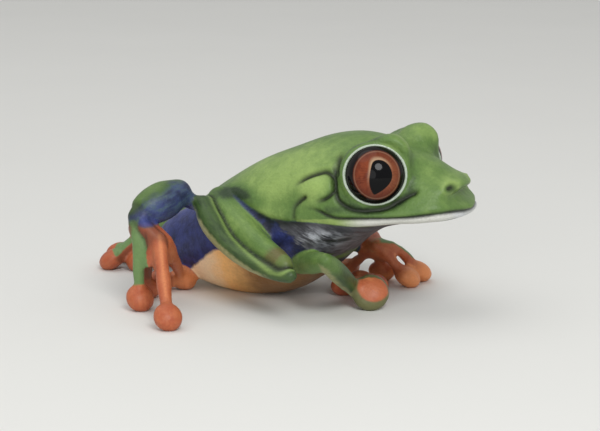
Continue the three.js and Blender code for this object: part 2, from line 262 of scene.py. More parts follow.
def body():
    """Superellipses carried from vent to snout. At x the half width, the reach up or down from the
    widest level and the squareness come from the stations. The upper half leans in by pinch times
    sin a to the pinch's power. Both ends shrink as the root of 1 less the share past the cap's start
    to the cap's power."""
    sweep = (1 - np.cos(np.linspace(0.01, math.pi - 0.01, 170))) / 2
    x = VENT_X + (SNOUT_X - VENT_X) * sweep
    half, belly, wide, back, square, pinch = hermite(STATIONS, x).T[:, :, None]
    nose = (x - SNOUT_X + SNOUT_CAP) / SNOUT_CAP
    tail = (VENT_X + VENT_CAP - x) / VENT_CAP
    past = np.clip(np.maximum(nose, tail), 0, 1)
    cap = np.sqrt(np.clip(1 - past**CAP_POWER, 0, 1))[:, None]
    angle = turns(132)[None]
    up = np.sin(angle)
    power = 2 / square
    lean = 1 - pinch * np.clip(up, 0, 1) ** PINCH_POWER
    reach = np.where(up > 0, back - wide, wide - belly)
    y = half * lean * np.sign(np.cos(angle)) * np.abs(np.cos(angle)) ** power * cap
    z = wide + reach * np.sign(up) * np.abs(up) ** power * cap
    return np.stack((x[:, None] + 0 * y, y, z), 2)


def linked(name, data):
    """A new object in the scene."""
    thing = bpy.data.objects.new(name, data)
    bpy.context.scene.collection.objects.link(thing)
    return thing


def mesh_of(name, points, faces):
    """A mesh of these points and faces."""
    mesh = bpy.data.meshes.new(name)
    mesh.from_pydata(np.asarray(points).tolist(), [], faces)
    return mesh


def read_points(mesh):
    """A mesh's points as one array."""
    flat = np.empty(len(mesh.vertices) * 3)
    mesh.vertices.foreach_get("co", flat)
    return flat.reshape(-1, 3)


def plain(values):
    """Values as one flat run of the numbers that Blender keeps."""
    return np.ascontiguousarray(values, dtype=np.float32).ravel()


def write_points(mesh, points):
    """Moves a mesh's points here."""
    mesh.vertices.foreach_set("co", plain(points))
    mesh.update()


def keep(mesh, name, values):
    """Keeps an array on the mesh's points, as numbers or as threes, for its material."""
    kind, field = ("FLOAT", "value") if np.ndim(values) == 1 else ("FLOAT_VECTOR", "vector")
    mesh.attributes.new(name, kind, "POINT").data.foreach_set(field, plain(values))


@contextlib.contextmanager
def edited(mesh):
    """A mesh opened for editing, and written back at the end."""
    work = bmesh.new()
    work.from_mesh(mesh)
    work.verts.ensure_lookup_table()
    yield work
    work.to_mesh(mesh)
    work.free()


def outward(mesh):
    """A closed mesh with every face turned to look outward."""
    with edited(mesh) as work:
        bmesh.ops.recalc_face_normals(work, faces=work.faces)
    return mesh


def show(name, mesh, nodes, material):
    """Puts a finished mesh in the scene on the one body, in place of its CAD nodes."""
    piece = linked(name, mesh)
    mesh.polygons.foreach_set("use_smooth", [True] * len(mesh.polygons))
    mesh.materials.append(material)
    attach(piece, "root")
    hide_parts(*nodes)


# ---------- limbs and digits ----------
def digit_line(root, digit, share):
    """The digit's arched line from its knuckle to its disc, and the way it heads."""
    rim, thick = digit["half"] * DISC_RIM, DISC_THICK
    level = math.hypot(rim * math.sin(digit["lean"]), thick * math.cos(digit["lean"])) - DISC_SUNK
    root, tip = np.array(root), np.array((*digit["at"], level))
    base = np.array(digit.get("knuckle", root + (tip - root) * share))
    via = base + (tip - base) * DIGIT_BEND
    bend = max(tip[2], base[2] + (tip[2] - base[2]) * DIGIT_FALL)
    via[2] = bend + DIGIT_ARCH + digit.get("arch", 0)
    way = digit.get("way", tip - root)
    return bezier(base, via, tip), math.atan2(way[1], way[0])


def disc(spot, heading, lean, half):
    """A rounded toe disc: an ellipsoid of squared rim, leaning down along its digit."""
    rings = ellipsoid(np.zeros(3), np.ones(3), 36, 22)
    out = np.maximum(np.hypot(rings[..., 0], rings[..., 1]) ** 0.1, 0.3)
    x, y, z = np.moveaxis(rings * (half * DISC_LONG, half, DISC_THICK), 2, 0)
    x, y = x / out, y / out
    x, z = x * math.cos(lean) + z * math.sin(lean), z * math.cos(lean) - x * math.sin(lean)
    c, s = math.cos(heading), math.sin(heading)
    return np.stack((x * c - y * s, x * s + y * c, z), 2) + spot


def web(first, second, reach, thick=0.3):
    """Skin stretched between two digits as far as reach along them, its free edge hollowed."""
    along = np.linspace(0, reach, 22)
    angle = turns(30)
    across = (1 - np.cos(angle)) / 2
    hollow = 1 - 2 * across * (1 - across)
    a, b = (
        sampled(sampled(line, np.linspace(0, 1, len(line)), along), along, along[:, None] * hollow)
        for line in (first, second)
    )
    normal = unit(np.cross(unit(b - a), unit(np.gradient((a + b) / 2, axis=0))))
    return a + (b - a) * across[None, :, None] + normal * (thick * np.sin(angle))[None, :, None]


LIMB_RADII = {
    "upper_arm": ((0, 1.5, 1.5), (0.5, 1.38, 1.38), (1, 1.1, 1.1)),
    "forearm": ((0, 1.1, 1.1), (0.4, 1.34, 1.28), (0.75, 1.25, 1.15), (1, 1.1, 1.05)),
    "thigh": ((0, 1.7, 1.7), (0.4, 1.74, 1.74), (0.8, 1.52, 1.52), (1, 1.35, 1.35)),
    "shin": ((0, 1.05, 1.05), (0.3, 1.05, 1.05), (0.6, 1.2, 1.2), (0.82, 1.5, 1.5),
             (1, 1.3, 1.3)),
    "tarsus": ((0, 1.95, 1.95), (0.3, 2.42, 2.48), (0.65, 2.25, 2.25), (1, 1.3, 1.25)),
    "link": ((0, 0.9, 0.9), (1, 0.9, 0.9)),
}
DIGIT_RADII = ((0, 0.86, 0.8), (0.3, 0.74, 0.7), (0.55, 0.8, 0.74), (0.8, 0.66, 0.6), (1, 0.72, 0.6))


def skeleton():
    """Every limb piece of both sides: name, its line, its radii and the kind of skin it carries."""
    bones = []
    for side, j in (("right", RIGHT), ("left", LEFT)):

        def add(name, line, radii, skin):
            """Notes one piece."""
            radii = np.array(radii)
            bones.append({"name": f"{side}_{name}", "line": line, "radii": radii, "skin": skin})

        for name, line in (
            ("upper_arm", straight(j["shoulder"], j["elbow"])),
            ("forearm", straight(j["elbow"], j["wrist"])),
            ("thigh", bezier(j["hip"], j["thigh_bow"], j["thigh_knee"])),
            ("shin", bezier(j["knee"], j["shin_bow"], j["heel"])),
            ("tarsus", straight(j["tarsus"], j["ankle"])),
            ("link", straight(*np.add((j["tarsus"], j["heel"]), j["heel_in"]))),
        ):
            add(name, line, LIMB_RADII[name], "green")
        for kind, root, digits, share, palm, wide in (
            ("finger", j["wrist"], j["fingers"], 0.34, 0.36, 1.5),
            ("toe", j["ankle"], j["toes"], 0.3, 0.28, 2.0),
        ):
            centre = np.mean([(*d["at"], DISC_THICK) for d in digits], 0)
            end = np.array(root) + (centre - root) * palm
            sole = ((0, 1.2, 0.95), (0.6, wide, 0.95), (1, wide, 0.9))
            add(f"{kind}_palm", straight(root, end), sole, "orange")
            for n, own in enumerate(digits, 1):
                digit = {**DISC, **own}
                line, heading = digit_line(root, digit, share)
                stout = (1, digit["radius"] / DISC["radius"], digit["radius"] / DISC["radius"])
                ray = ((0, 1.0, 0.9), (1, 0.95, 0.88))
                add(f"{kind}_ray_{n}", straight(root, line[0]), ray, "orange")
                add(f"{kind}_{n}", line, np.multiply(DIGIT_RADII, stout), "orange")
                bones[-1].update(disc=(line[-1], heading, digit["lean"], digit["half"]))
    return bones


BONES = skeleton()


def flesh():
    """Every closed surface that the skin is drawn over, as points and faces."""
    shells = [closed(body())]
    for side in (-1, 1):
        eye = EYE * (1, side, 1)
        shells.append(closed(ellipsoid(eye, (SOCKET_RADIUS,) * 3)))
        shells.append(closed(ellipsoid(eye + np.multiply(BULGE_AT, (1, side, 1)), BULGE_HALF)))
    for bone in BONES:
        shells.append(closed(tube(bone["line"], bone["radii"])))
        if "disc" in bone:
            shells.append(closed(disc(*bone["disc"])))
    lines = {bone["name"]: bone["line"] for bone in BONES}
    for side in ("right", "left"):
        for kind, count, reach in (("finger", 4, 0.3), ("toe", 5, 0.5)):
            for n in range(1, count):
                pair = (lines[f"{side}_{kind}_{k}"] for k in (n, n + 1))
                shells.append(closed(web(*pair, reach)))
    points, faces, count = [], [], 0
    for shell, polygons in shells:
        points.append(shell)
        faces += [[i + count for i in polygon] for polygon in polygons]
        count += len(shell)
    return np.concatenate(points), faces


def united(points, faces, voxel):
    """One even skin of four-sided faces over closed surfaces that run into each other."""
    rough = linked("flesh", mesh_of("flesh", points, faces))
    union = rough.modifiers.new("one skin", "REMESH")
    union.mode = "VOXEL"
    union.voxel_size = voxel
    union.adaptivity = 0
    graph = bpy.context.evaluated_depsgraph_get()
    mesh = bpy.data.meshes.new_from_object(rough.evaluated_get(graph))
    bpy.data.objects.remove(rough)
    return whole(mesh)


def whole(mesh):
    """The mesh without its loose bits. The least point number of each bit is handed along the edges
    until nothing changes, and only the bit with most points stays."""
    first, second = edges_of(mesh).T
    label, handed = None, np.arange(len(mesh.vertices))
    while not np.array_equal(handed, label):
        label, handed = handed, handed.copy()
        least = np.minimum(label[first], label[second])
        np.minimum.at(handed, first, least)
        np.minimum.at(handed, second, least)
        handed = handed[handed]
    loose = np.flatnonzero(label != np.bincount(label).argmax())
    with edited(mesh) as work:
        bmesh.ops.delete(work, geom=[work.verts[i] for i in loose], context="VERTS")
    return mesh


def refine(mesh, wanted):
    """Cuts in four each face whose points are all wanted, so that the head can hold finer folds."""
    picked = wanted[edges_of(mesh)].all(1)
    with edited(mesh) as work:
        edges = [edge for edge, pick in zip(work.edges, picked) if pick]
        bmesh.ops.subdivide_edges(work, edges=edges, cuts=1, use_grid_fill=True)


def relaxed(points, edges, weight, rounds):
    """Each point moves by its weight towards the mean of its neighbours, this many times."""
    first, second = edges.T
    count = np.bincount(edges.ravel(), minlength=len(points))[:, None]
    for _ in range(rounds):
        total = [np.bincount(first, v[second], len(v)) + np.bincount(second, v[first], len(v))
                 for v in points.T]
        points = points + weight[:, None] * (np.stack(total, 1) / count - points)
    return points


def evened(points, edges, rounds):
    """Points smoothed without loss of size: each round goes half way in to the mean of the
    neighbours, then a little more than that out again."""
    for share in (0.5, -0.53) * rounds:
        points = relaxed(points, edges, np.full(len(points), share), 1)
    return points


def edges_of(mesh):
    """A mesh's edges as pairs of point numbers."""
    flat = np.empty(len(mesh.edges) * 2, np.int32)
    mesh.edges.foreach_get("vertices", flat)
    return flat.reshape(-1, 2)


JOIN_SOFTNESS = (
    ("shoulder", 3.2, 1.0), ("elbow", 2.0, 0.5), ("wrist", 2.2, 0.5), ("hip", 2.6, 0.5),
    ("thigh_knee", 2.0, 0.5), ("knee", 2.0, 0.4), ("heel", 2.0, 0.6), ("tarsus", 2.2, 0.5),
    ("ankle", 2.2, 0.6),
)


def eye_gap(points):
    """Distance from the middle of the nearer eye."""
    return np.min([np.linalg.norm(points - EYE * (1, side, 1), axis=1) for side in (-1, 1)], 0)


def join_weight(points):
    """How much each point is smoothed: most at the joints, where one part runs into the next."""
    weight = np.full(len(points), 0.02)
    for j in (RIGHT, LEFT):
        for name, reach, most in JOIN_SOFTNESS:
            gap = np.linalg.norm(points - j[name], axis=1)
            weight = np.maximum(weight, most * (1 - smooth(gap, reach * 0.5, reach * 1.2)))
    for bone in BONES:
        if "disc" in bone:
            gap = np.linalg.norm(points - bone["line"][0], axis=1)
            weight = np.maximum(weight, 0.5 * (1 - smooth(gap, 0.8, 1.8)))
    return np.maximum(weight, 0.7 * (1 - smooth(eye_gap(points), 5.6, 7.5)))


def eye_rim(points):
    """1 in the skin beside each eyeball and 0 away from it."""
    gap = eye_gap(points)
    return smooth(gap, 4.6, 5.4) * (1 - smooth(gap, 7.0, 8.5))


# ---------- folds and features of the head, in the frog's millimetres, on its right side ----------
MOUTH = np.array((
    (4.6, -8.6, 13.3), (6.0, -8.7, 13.4), (7.0, -8.8, 13.2), (8.2, -9.0, 12.8),
    (9.4, -9.0, 12.6), (11.6, -8.8, 12.7), (13.7, -8.4, 12.8), (15.7, -7.9, 12.9),
    (17.8, -7.2, 13.1), (19.7, -6.4, 13.4), (21.0, -5.5, 13.6), (22.2, -4.3, 13.7),
    (22.9, -2.8, 13.6), (23.3, -1.3, 13.4), (23.4, 0.0, 13.3),
))
CHIN = np.array((
    (3.7, 11.6), (7.0, 11.8), (9.4, 11.8), (11.5, 11.7), (13.6, 11.8), (15.9, 12.0),
    (17.7, 12.1), (19.4, 12.4), (20.8, 12.5), (22.2, 12.7), (23.9, 12.7),
))
LID_CREASE = np.array((
    (7.9, -5.8, 19.2), (8.2, -7.0, 17.5), (8.9, -8.2, 15.6), (9.3, -8.5, 14.8), (10.2, -8.6, 14.2),
    (11.2, -8.5, 13.8), (12.4, -8.1, 13.7), (13.5, -7.8, 13.8), (14.7, -7.3, 14.0), (15.5, -6.9, 14.3),
    (16.2, -6.4, 14.8), (16.8, -6.1, 15.2), (17.3, -5.8, 15.5), (17.8, -5.5, 15.8), (18.3, -5.2, 16.0),
    (18.8, -5.0, 16.2),
))
LOBE_EDGE = np.array((
    (1.6, -7.4, 15.2), (2.6, -7.3, 15.8), (3.6, -7.3, 16.5), (4.6, -7.2, 17.1),
    (5.8, -7.1, 17.6), (7.1, -7.1, 17.9), (8.3, -7.6, 17.2), (8.6, -8.2, 16.0),
    (8.0, -8.5, 15.1), (6.9, -8.5, 14.5), (5.9, -8.5, 14.2),
))
NECK_CREASE = np.array(((5.2, -8.2, 15.0), (4.0, -8.2, 14.2), (3.2, -8.2, 13.3),
                        (3.2, -8.3, 12.3), (3.4, -8.4, 11.6)))
EYE_BACK_CREASE = np.array(((8.1, -4.8, 20.3), (8.2, -5.8, 19.5), (8.4, -6.8, 18.4),
                            (9.0, -7.8, 17.4)))
THROAT_CREASE = np.array(((6.5, -8.2, 9.2), (8.5, -7.5, 9.2), (10.2, -6.8, 9.6),
                          (11.3, -5.8, 9.7)))
NOSTRIL = np.array((21.75, -2.8, 16.4))
FLANK = np.array((
    (-20.6, 9.0), (-16.0, 10.8), (-12.5, 12.6), (-9.0, 13.4), (-6.6, 13.4), (-4.9, 12.9),
    (-2.6, 12.1), (-0.5, 11.5), (1.7, 11.4), (3.7, 11.6), (7.0, 11.8),
))
DORSAL_Y = 1.1
DORSAL = np.array(((-20.6, 0.5), (-17.5, 1.6), (-14.5, 2.7), (-12.5, 3.2), (-9.0, 1.0), (-5.0, 0.0)))
TAN = np.array(((-20.6, 1.4), (-15.2, 2.0), (-13.2, 3.2), (-11.5, 4.5), (-8.7, 6.3), (-6.0, 6.6),
                (0.0, 4.6), (4.0, 4.2)))


def curve(points, step=0.25):
    """A smooth line through these points."""
    far = travelled(points)
    return hermite(np.column_stack((far, points)), np.arange(0, far[-1] + step / 2, step))


def nearest(points, line):
    """For each point: its distance from a line, and the share along the line of the nearest spot."""
    gap, share = np.full(len(points), 1e9), np.zeros(len(points))
    far = travelled(line)
    for k in range(len(line) - 1):
        step = line[k + 1] - line[k]
        t = np.clip((points - line[k]) @ step / (step @ step), 0, 1)
        away = np.linalg.norm(points - line[k] - t[:, None] * step, axis=1)
        closer = away < gap
        gap = np.where(closer, away, gap)
        share = np.where(closer, (far[k] + t * (far[k + 1] - far[k])) / far[-1], share)
    return gap, share


def on_right(points):
    """Points folded over the frog's middle plane on to its right side."""
    return points * (1, 0, 1) - np.abs(points) * (0, 1, 0)


def eye_frame(side, turn=LIDS):
    """The eye's middle on this side, and the way its lids open or it looks."""
    ahead, up = turn
    way = (math.sin(ahead) * math.cos(up), side * math.cos(ahead) * math.cos(up), math.sin(up))
    return EYE * (1, side, 1), np.array(way)


# The pale edge of the lids: out from the way they open, along it, and its height as a share of width.
LID_RADIUS, LID_HEIGHT, LID_SHARE = 3.77, 1.42, 0.95


def from_lids(points, side):
    """Each point's offset from the eye's middle, its height along the way the lids open and how far
    it lies from that way, up and down counted longer by the opening's flatness."""
    eye, way = eye_frame(side)
    offset = points - eye
    height = offset @ way
    flat = offset - height[:, None] * way
    upright = flat @ unit(np.array((0, 0, 1.0)) - way[2] * way)
    across = np.sqrt((flat**2).sum(1) + (1 / LID_SHARE**2 - 1) * upright**2)
    return offset, height, across


def socketed(points):
    """Skin drawn round each eyeball: no nearer to its middle than the socket's radius, and beside
    the opening no higher along the lids' way than a slope of 1 from just under their pale edge.
    Both limits are soft: they come in by the log of 1 plus e to the excess."""
    soft, soft_slope = 0.35, 0.6
    for side in (-1, 1):
        eye, way = eye_frame(side)
        offset, height, across = from_lids(points, side)
        radius = np.maximum(np.linalg.norm(offset, axis=1), 1e-9)
        near = smooth(height, -1.5, 0.2) * (1 - smooth(radius, 6.6, 8.2))
        excess = (radius - SOCKET_RADIUS) / soft
        grown = SOCKET_RADIUS + soft * (np.logaddexp(0, excess) - math.log(2))
        points = eye + offset * (1 + (grown / radius - 1) * near)[:, None]
        offset, height, across = from_lids(points, side)
        limit = LID_HEIGHT - 0.12 + np.maximum(across - 4.2, 0)
        over = soft_slope * np.logaddexp(0, (height - limit) / soft_slope - 0.5) * near
        points = points - over[:, None] * way
    return points


def opened(points, sunk=3.3):
    """The skin inside each opening of the lids, sunk to this radius, inside the eyeball."""
    for side in (-1, 1):
        eye, way = eye_frame(side)
        offset, height, across = from_lids(points, side)
        inside = (across < LID_RADIUS) & (height > 0.3)
        radius = np.linalg.norm(offset, axis=1)
        points = eye + offset * np.where(inside, sunk / np.maximum(radius, 1e-9), 1)[:, None]
    return points


def dent(gap, width):
    """1 on a line and 0 away from it, as the bell curve of the gap over the width."""
    return np.exp(-((gap / width) ** 2))


def bell(points, centre, half):
    """1 at a centre and less away from it: e to minus the square of the gap over the half sizes."""
    return np.exp(-(((points - centre) / half) ** 2).sum(1))


def normals_of(mesh, points):
    """The outward way at each point of the mesh once its points are moved here."""
    write_points(mesh, points)
    flat = np.empty(len(points) * 3, np.float32)
    mesh.vertex_normals.foreach_get("vector", flat)
    return flat.reshape(-1, 3).astype(float)


MIDDLE_FORMS = (  # middle, half sizes and way: nape, dip of the snout, nose, and the notch under it
    ((9.5, 0, 21.8), (5.0, 4.0, 1.6), (0, 0, 0.22)),
    ((20.8, 0, 18.2), (1.9, 3.5, 1.0), (0, 0, -0.45)),
    ((22.6, 0, 16.8), (1.2, 3.0, 0.55), (0.3, 0, -0.1)),
    ((22.8, 0.8, 15.65), (2.5, 4.2, 0.45), (-0.8, 0, 0)),
    ((23.2, 0.6, 15.0), (2.5, 5.5, 0.8), (-1.25, 0, 0)),
)
SIDE_FORMS = (  # on both sides: hollow before the eye, lobe behind it, nostril, brow and its back
    ((18.6, 6.6, 16.4), (2.6, 1.6, 1.2), (0, -0.35, 0)),
    ((5.9, 8.0, 16.2), (2.6, 1.8, 1.5), (0, 0.45, 0.05)),
    ((21.7, 3.2, 16.7), (1.0, 1.0, 0.8), (0.02, 0.14, 0.14)),
    ((15.4, 5.0, 20.6), (2.0, 2.4, 1.6), (0.85, 0, 0.8)),
    ((15.1, 4.4, 22.5), (1.7, 2.2, 1.0), (0.1, 0, 0.35)),
    ((11.4, 5.6, 21.8), (1.2, 2.2, 1.0), (0, 0, -0.55)),
)


def head_shape(points):
    """Soft forms of the head that the sections can't give. Each moves the points near its middle by
    its way, less the further they are, by the bell curve."""
    for side, forms in ((1, MIDDLE_FORMS), (-1, SIDE_FORMS), (1, SIDE_FORMS)):
        mirror = (1, side, 1)
        for centre, half, way in forms:
            much = bell(points, np.multiply(centre, mirror), half)[:, None]
            points = points + much * np.multiply(way, mirror)
    return points


def nostril_gap(right):
    """Distance from the nostril's middle, counted less across the head."""
    return np.linalg.norm((right - NOSTRIL) * (1, 0.4, 1), axis=1)


CREASES = (  # line, depth, width, and the share over which it fades in and out
    (LID_CREASE, 0.48, 0.34, 0.08, 0.05), (LOBE_EDGE, 0.42, 0.28, 0.25, 0.15),
    (NECK_CREASE, 0.4, 0.3, 0.2, 0.1), (EYE_BACK_CREASE, 0.3, 0.42, 0.3, 0.1),
    (THROAT_CREASE, 0.3, 0.3, 0.25, 0.2),
)
# The darkness of each groove is painted shade between the two parts.
GROOVES = (  # between which parts, how deep, and how dark
    ("right_thigh", "right_shin", 0.3, 0.8), ("left_thigh", "left_shin", 0.3, 0.8),
    ("right_toe_ray_4", "right_toe_ray_5", 0.15, 0.5), ("right_toe_4", "right_toe_5", 0.1, 0.5),
    ("right_toe_ray_3", "right_toe_ray_4", 0.1, 0.3),
)


def folds(points, gaps):
    """How far each point moves out along the skin, for lips, nostrils, creases and the flank's edge,
    and how deep in a crease it lies: the strength of the painted shade in the creases, the mouth
    line, the nostril pits, the grooves between parts and the band under the flank's edge."""
    right = on_right(points)
    x, y, z = right.T
    bare = smooth(gaps["limbs"], 0.2, 0.8)
    head = smooth(x, 2.0, 4.0) * bare * smooth(-y, 1.0, 2.5)
    across_less = (1, 0.35, 1)

    def cut(line, width, start, end):
        """1 along the bottom of a crease, less beside it and towards its two ends."""
        gap, share = nearest(right * across_less, curve(line) * across_less)
        fade = smooth(share, -0.001, start) * (1 - smooth(share, 1 - end, 1.001))
        return dent(gap, width) * fade

    mouth = cut(MOUTH, 0.2, 0.16, 0.0) * smooth(x, 4.0, 5.5) * bare
    above = z - hermite(MOUTH[:, [0, 2]], x)[:, 0]
    lower_lip = dent(above + 0.55, 0.5) * smooth(x, 6, 11)
    upper_lip = dent(above - 0.6, 0.6) * smooth(x, 6, 12)
    moved = 0.2 * lower_lip + 0.1 * upper_lip - 0.36 * mouth
    # The mouth line and each crease get painted shade, stronger where the cut is deeper.
    crease = mouth
    for line, depth, width, start, end in CREASES:
        mark = cut(line, width, start, end) * head
        moved -= depth * mark
        crease = np.maximum(crease, mark * (0.5 + depth))
    pit = nostril_gap(right)
    moved += 0.12 * dent(pit - 0.65, 0.25) - 0.5 * dent(pit, 0.35)
    # Painted shade in each nostril's pit.
    crease = np.maximum(crease, dent(pit, 0.36) * 1.6)
    above_flank = z - hermite(FLANK, x)[:, 0]
    side = (1 - smooth(x, 3.0, 6.0)) * smooth(-y, 2.0, 4.0) * smooth(gaps["limbs"], 0.1, 0.6)
    moved += side * 0.26 * np.tanh(above_flank / 0.4) * dent(above_flank, 1.6)
    # Painted shadow in a band under the green flank's edge.
    crease = np.maximum(crease, side * dent(above_flank + 0.25, 0.35) * 0.5)
    for first, second, deep, shade in GROOVES:
        first, second = gaps[first], gaps[second]
        groove = dent(first - second, 0.34) * (1 - smooth(np.minimum(first, second), 0.6, 1.1))
        moved -= deep * groove
        crease = np.maximum(crease, shade * groove)
    return moved, crease


def part_gaps(points):
    """For each point: how far it is out from the body and from each bone's flesh. Each bone also
    notes the share along it and how far the point lies to its side and over it, in radii. "along" is
    a place whose lumps come out long: 0.3 of the way along the nearest bone and 1.5 of the offset."""
    x = np.clip(points[:, 0], VENT_X, SNOUT_X)
    half, belly, wide, back, square, pinch = hermite(STATIONS, x).T
    rise = points[:, 2] - wide
    reach = np.where(rise > 0, back - wide, wide - belly)
    lean = 1 - pinch * np.clip(rise / reach, 0, 1) ** PINCH_POWER
    a, b = np.abs(points[:, 1]) / (half * lean), np.abs(rise) / reach
    level = (a**square + b**square) ** (1 / square)
    body_gap = (level - 1) * np.hypot(points[:, 1], rise) / np.maximum(level, 1e-6)
    past = np.maximum(points[:, 0] - SNOUT_X, VENT_X - points[:, 0])
    least = np.maximum(body_gap, past)
    gaps = {"body": least, "along": points * 0.7}
    for bone in BONES:
        line = bone["line"]
        ahead, side, over = frames(line)
        apart = (points**2).sum(1)[:, None] - 2 * points @ line.T + (line**2).sum(1)[None]
        spot = apart.argmin(1)
        offset = points - line[spot]
        onward, across, above = ((offset * way[spot]).sum(1) for way in (ahead, side, over))
        far = travelled(line)
        on = np.clip(far[spot] + onward, 0, far[-1])
        size = hermite(bone["radii"], on / far[-1])[:, 0]
        beyond = onward - (on - far[spot])
        gap = np.sqrt(across**2 + above**2 + beyond**2) - size
        gaps[bone["name"]] = gap
        bone["at"] = (on / far[-1], across / size, above / size)
        own = np.stack((on * 0.3, across * 1.5, above * 1.5), 1)
        gaps["along"] = np.where((gap < least)[:, None], own, gaps["along"])
        least = np.minimum(gap, least)
        if "disc" in bone:
            pad = np.linalg.norm(points - bone["disc"][0], axis=1) - bone["disc"][3]
            gaps[bone["name"]] = np.minimum(gap, pad)
    for skin in ("orange", "green"):
        gaps[skin] = np.min([gaps[bone["name"]] for bone in BONES if bone["skin"] == skin], 0)
    gaps["limbs"] = np.minimum(gaps["orange"], gaps["green"])
    return gaps


def within(*limits):
    """The least of these limits, which is above 0 only inside them all."""
    return np.min(np.broadcast_arrays(*limits), 0)


def markings(points, normals, gaps):
    """Where each colour of skin lies. The patches are distances in millimetres, above 0 inside. The
    strengths dark, light, bright and pale run up from 0. Dark is a darker green, partly painted
    shade; light is painted highlight; bright is painted light on the digits; the brown patch is
    painted shade. The name ahead holds x for the shader."""
    right = on_right(points)
    x, y, z = right.T
    on_body = within(gaps["green"] - 0.1, gaps["orange"] + 0.3, 3) - np.clip(gaps["body"], 0, None)
    dorsal = np.abs(points[:, 1] - DORSAL_Y) - hermite(DORSAL, x)[:, 0]
    flank = within(hermite(FLANK, x)[:, 0] - z, dorsal)
    chin = z - hermite(CHIN, x)[:, 0]
    lip_high = 0.3 + 0.7 * smooth(x, 4.0, 13.0) - chin
    under_mouth = hermite(MOUTH[:, [0, 2]], x)[:, 0] - z
    digit = np.minimum(gaps["body"], gaps["green"]) - gaps["orange"]
    marks = {
        "digit": np.where(x < -11, within(digit, 10.6 - z), digit),
        "ahead": x,
        "blue": within(flank, on_body, 6.5 - x),
        "belly": within(hermite(TAN, x)[:, 0] - z, on_body),
        "throat": within(np.where(x < 5, within(-chin, flank), -chin), on_body),
        "chest": x + 1.4 * (z - 11) - 0.6,
        "pale": bell(right, (6.7, -8.3, 9.7), (3.0, 3.0, 1.3)),
        "lip": within(under_mouth, lip_high, chin, x - 3.6, on_body),
        **{name: np.full(len(points), -1.0) for name in ("inner", "cream", "strip", "brown_shade", "rim")},
        **{name: np.zeros(len(points)) for name in ("dark", "light", "bright")},
    }
    outward = np.where(points[:, 1] < 0, -normals[:, 1], normals[:, 1])

    def most(name, *limits):
        """Grows a mark by the part that lies inside all these limits."""
        marks[name] = np.maximum(marks[name], within(*limits))

    nearest_part = np.minimum(gaps["limbs"], gaps["body"])
    for bone in BONES:
        name = bone["name"]
        mine = nearest_part - gaps[name] + 0.15
        share, across, above = bone["at"]
        side, part = name.split("_", 1)
        outer = across if side == "right" else -across
        here = smooth(mine, -0.1, 0.2)
        if part in ("thigh", "shin", "upper_arm"):
            most("inner", mine, -0.35 - outward)
        if part == "shin":
            width = 0.8 - 0.45 * smooth(share, 0.15, 0.6) + 0.8 * smooth(share, 0.84, 0.98)
            most("cream", mine, -0.52 * outer - 0.85 * above - width, 3 * (share - 0.2))
            # The shin is darker green, partly painted shade.
            most("dark", here)
            # Painted highlight along the shin's upper edge, where it meets the thigh.
            edge = gaps[side + "_thigh"] - gaps[name]
            most("light", here * dent(edge - 0.75, 0.28) * smooth(above, -0.2, 0.3))
        if part == "thigh":
            # Painted shade in brown at the thigh's end by the knee.
            most("brown_shade", mine, 0.5 - np.abs(share - 0.93) * 9, above - 0.1)
        if part == "forearm":
            most("cream", mine, -0.3 * outer - 0.95 * above - 0.77)
            # The forearm is darker green, partly painted shade.
            most("dark", here * (0.3 + 0.7 * smooth(share, 0.1, 0.4)))
            # Painted highlight along the top of the forearm.
            most("light", here * dent(across + 0.3, 0.3) * smooth(above, 0.2, 0.7) * 0.6)
        if part == "tarsus":
            lower = 0.5 - 0.85 * above - 0.5 * outer - 0.32 * smooth(share, 0.05, 0.45)
            most("blue", mine, lower * 0.6)
            # The tarsus is darker green, partly painted shade, most along the border of its green and
            # blue.
            most("dark", here * (0.25 + 0.6 * dent(lower + 0.15, 0.25)))
        if part == "link":
            # Painted shade: the link between heel and tarsus is coloured blue, standing for the shade
            # in the gap between them.
            most("blue", mine + 0.3)
        if bone["skin"] == "orange" and "disc" in bone:
            # Painted light on the digits: a highlight along each digit's top ridge, and the far
            # fingers' discs and the third toe's disc lit up.
            ridge = dent(across, 0.4) * smooth(above, 0.1, 0.7) * (1 - smooth(share, 0.7, 0.95))
            pale = 1.1 * name.startswith("left_finger") + 0.8 * (name == "right_toe_3")
            most("bright", here * np.maximum(ridge * 0.8, smooth(share, 0.5, 0.9) * pale))
        # Painted light: the far hand's fingers a little lighter.
        if name.startswith("left_finger"):
            most("bright", here * 0.25)
        if name in ("right_toe_5", "right_toe_ray_5"):
            most("strip", mine, above + 0.85, 6 * (0.76 - share) if part == "toe_5" else mine)
        if name in ("left_toe_5", "left_toe_4"):
            most("strip", mine, above + 0.1, 6 * (0.76 - share))
            # Painted shade in brown under the far foot's outer toes.
            most("brown_shade", mine, -above - 0.2, 6 * (0.8 - share))
        if name in ("left_finger_3", "left_finger_ray_3"):
            stop = 6 * (0.62 - share) if part == "finger_3" else mine
            most("strip", mine + 0.2, above - 0.4, stop)
        if name == "left_forearm":
            most("digit", mine + 0.3, share * 9 - 4)
        if name == "right_finger_4":
            spot = points - bone["disc"][0] - (0.45, 0.22, 1.0)
            from_middle = np.hypot(spot @ (0.9, 0.44, 0), spot[:, 2] * 1.24)
            facing = spot @ (0.43, -0.88, 0.2)
            pad = np.where(facing > 0, 2.15 - from_middle, -1)
            most("rim", mine + 0.2, -pad, facing + 0.8)
        if name in ("right_toe_palm", "right_toe_ray_4"):
            # Painted shade in brown on the top of the near foot, under the tarsus.
            most("brown_shade", mine, 0.9 - np.abs(share - 0.6) * 2, 10.8 - z)
        if name in ("right_toe_palm", "right_toe_ray_3", "right_toe_ray_4"):
            most("blue", mine + 0.3, z - 10.5, x + 14.7)
        if name in ("right_toe_1", "right_toe_2"):
            # Painted shade in brown on the inner toes, behind the others.
            most("brown_shade", mine + 0.2, 5 * (0.75 - share))
    return marks
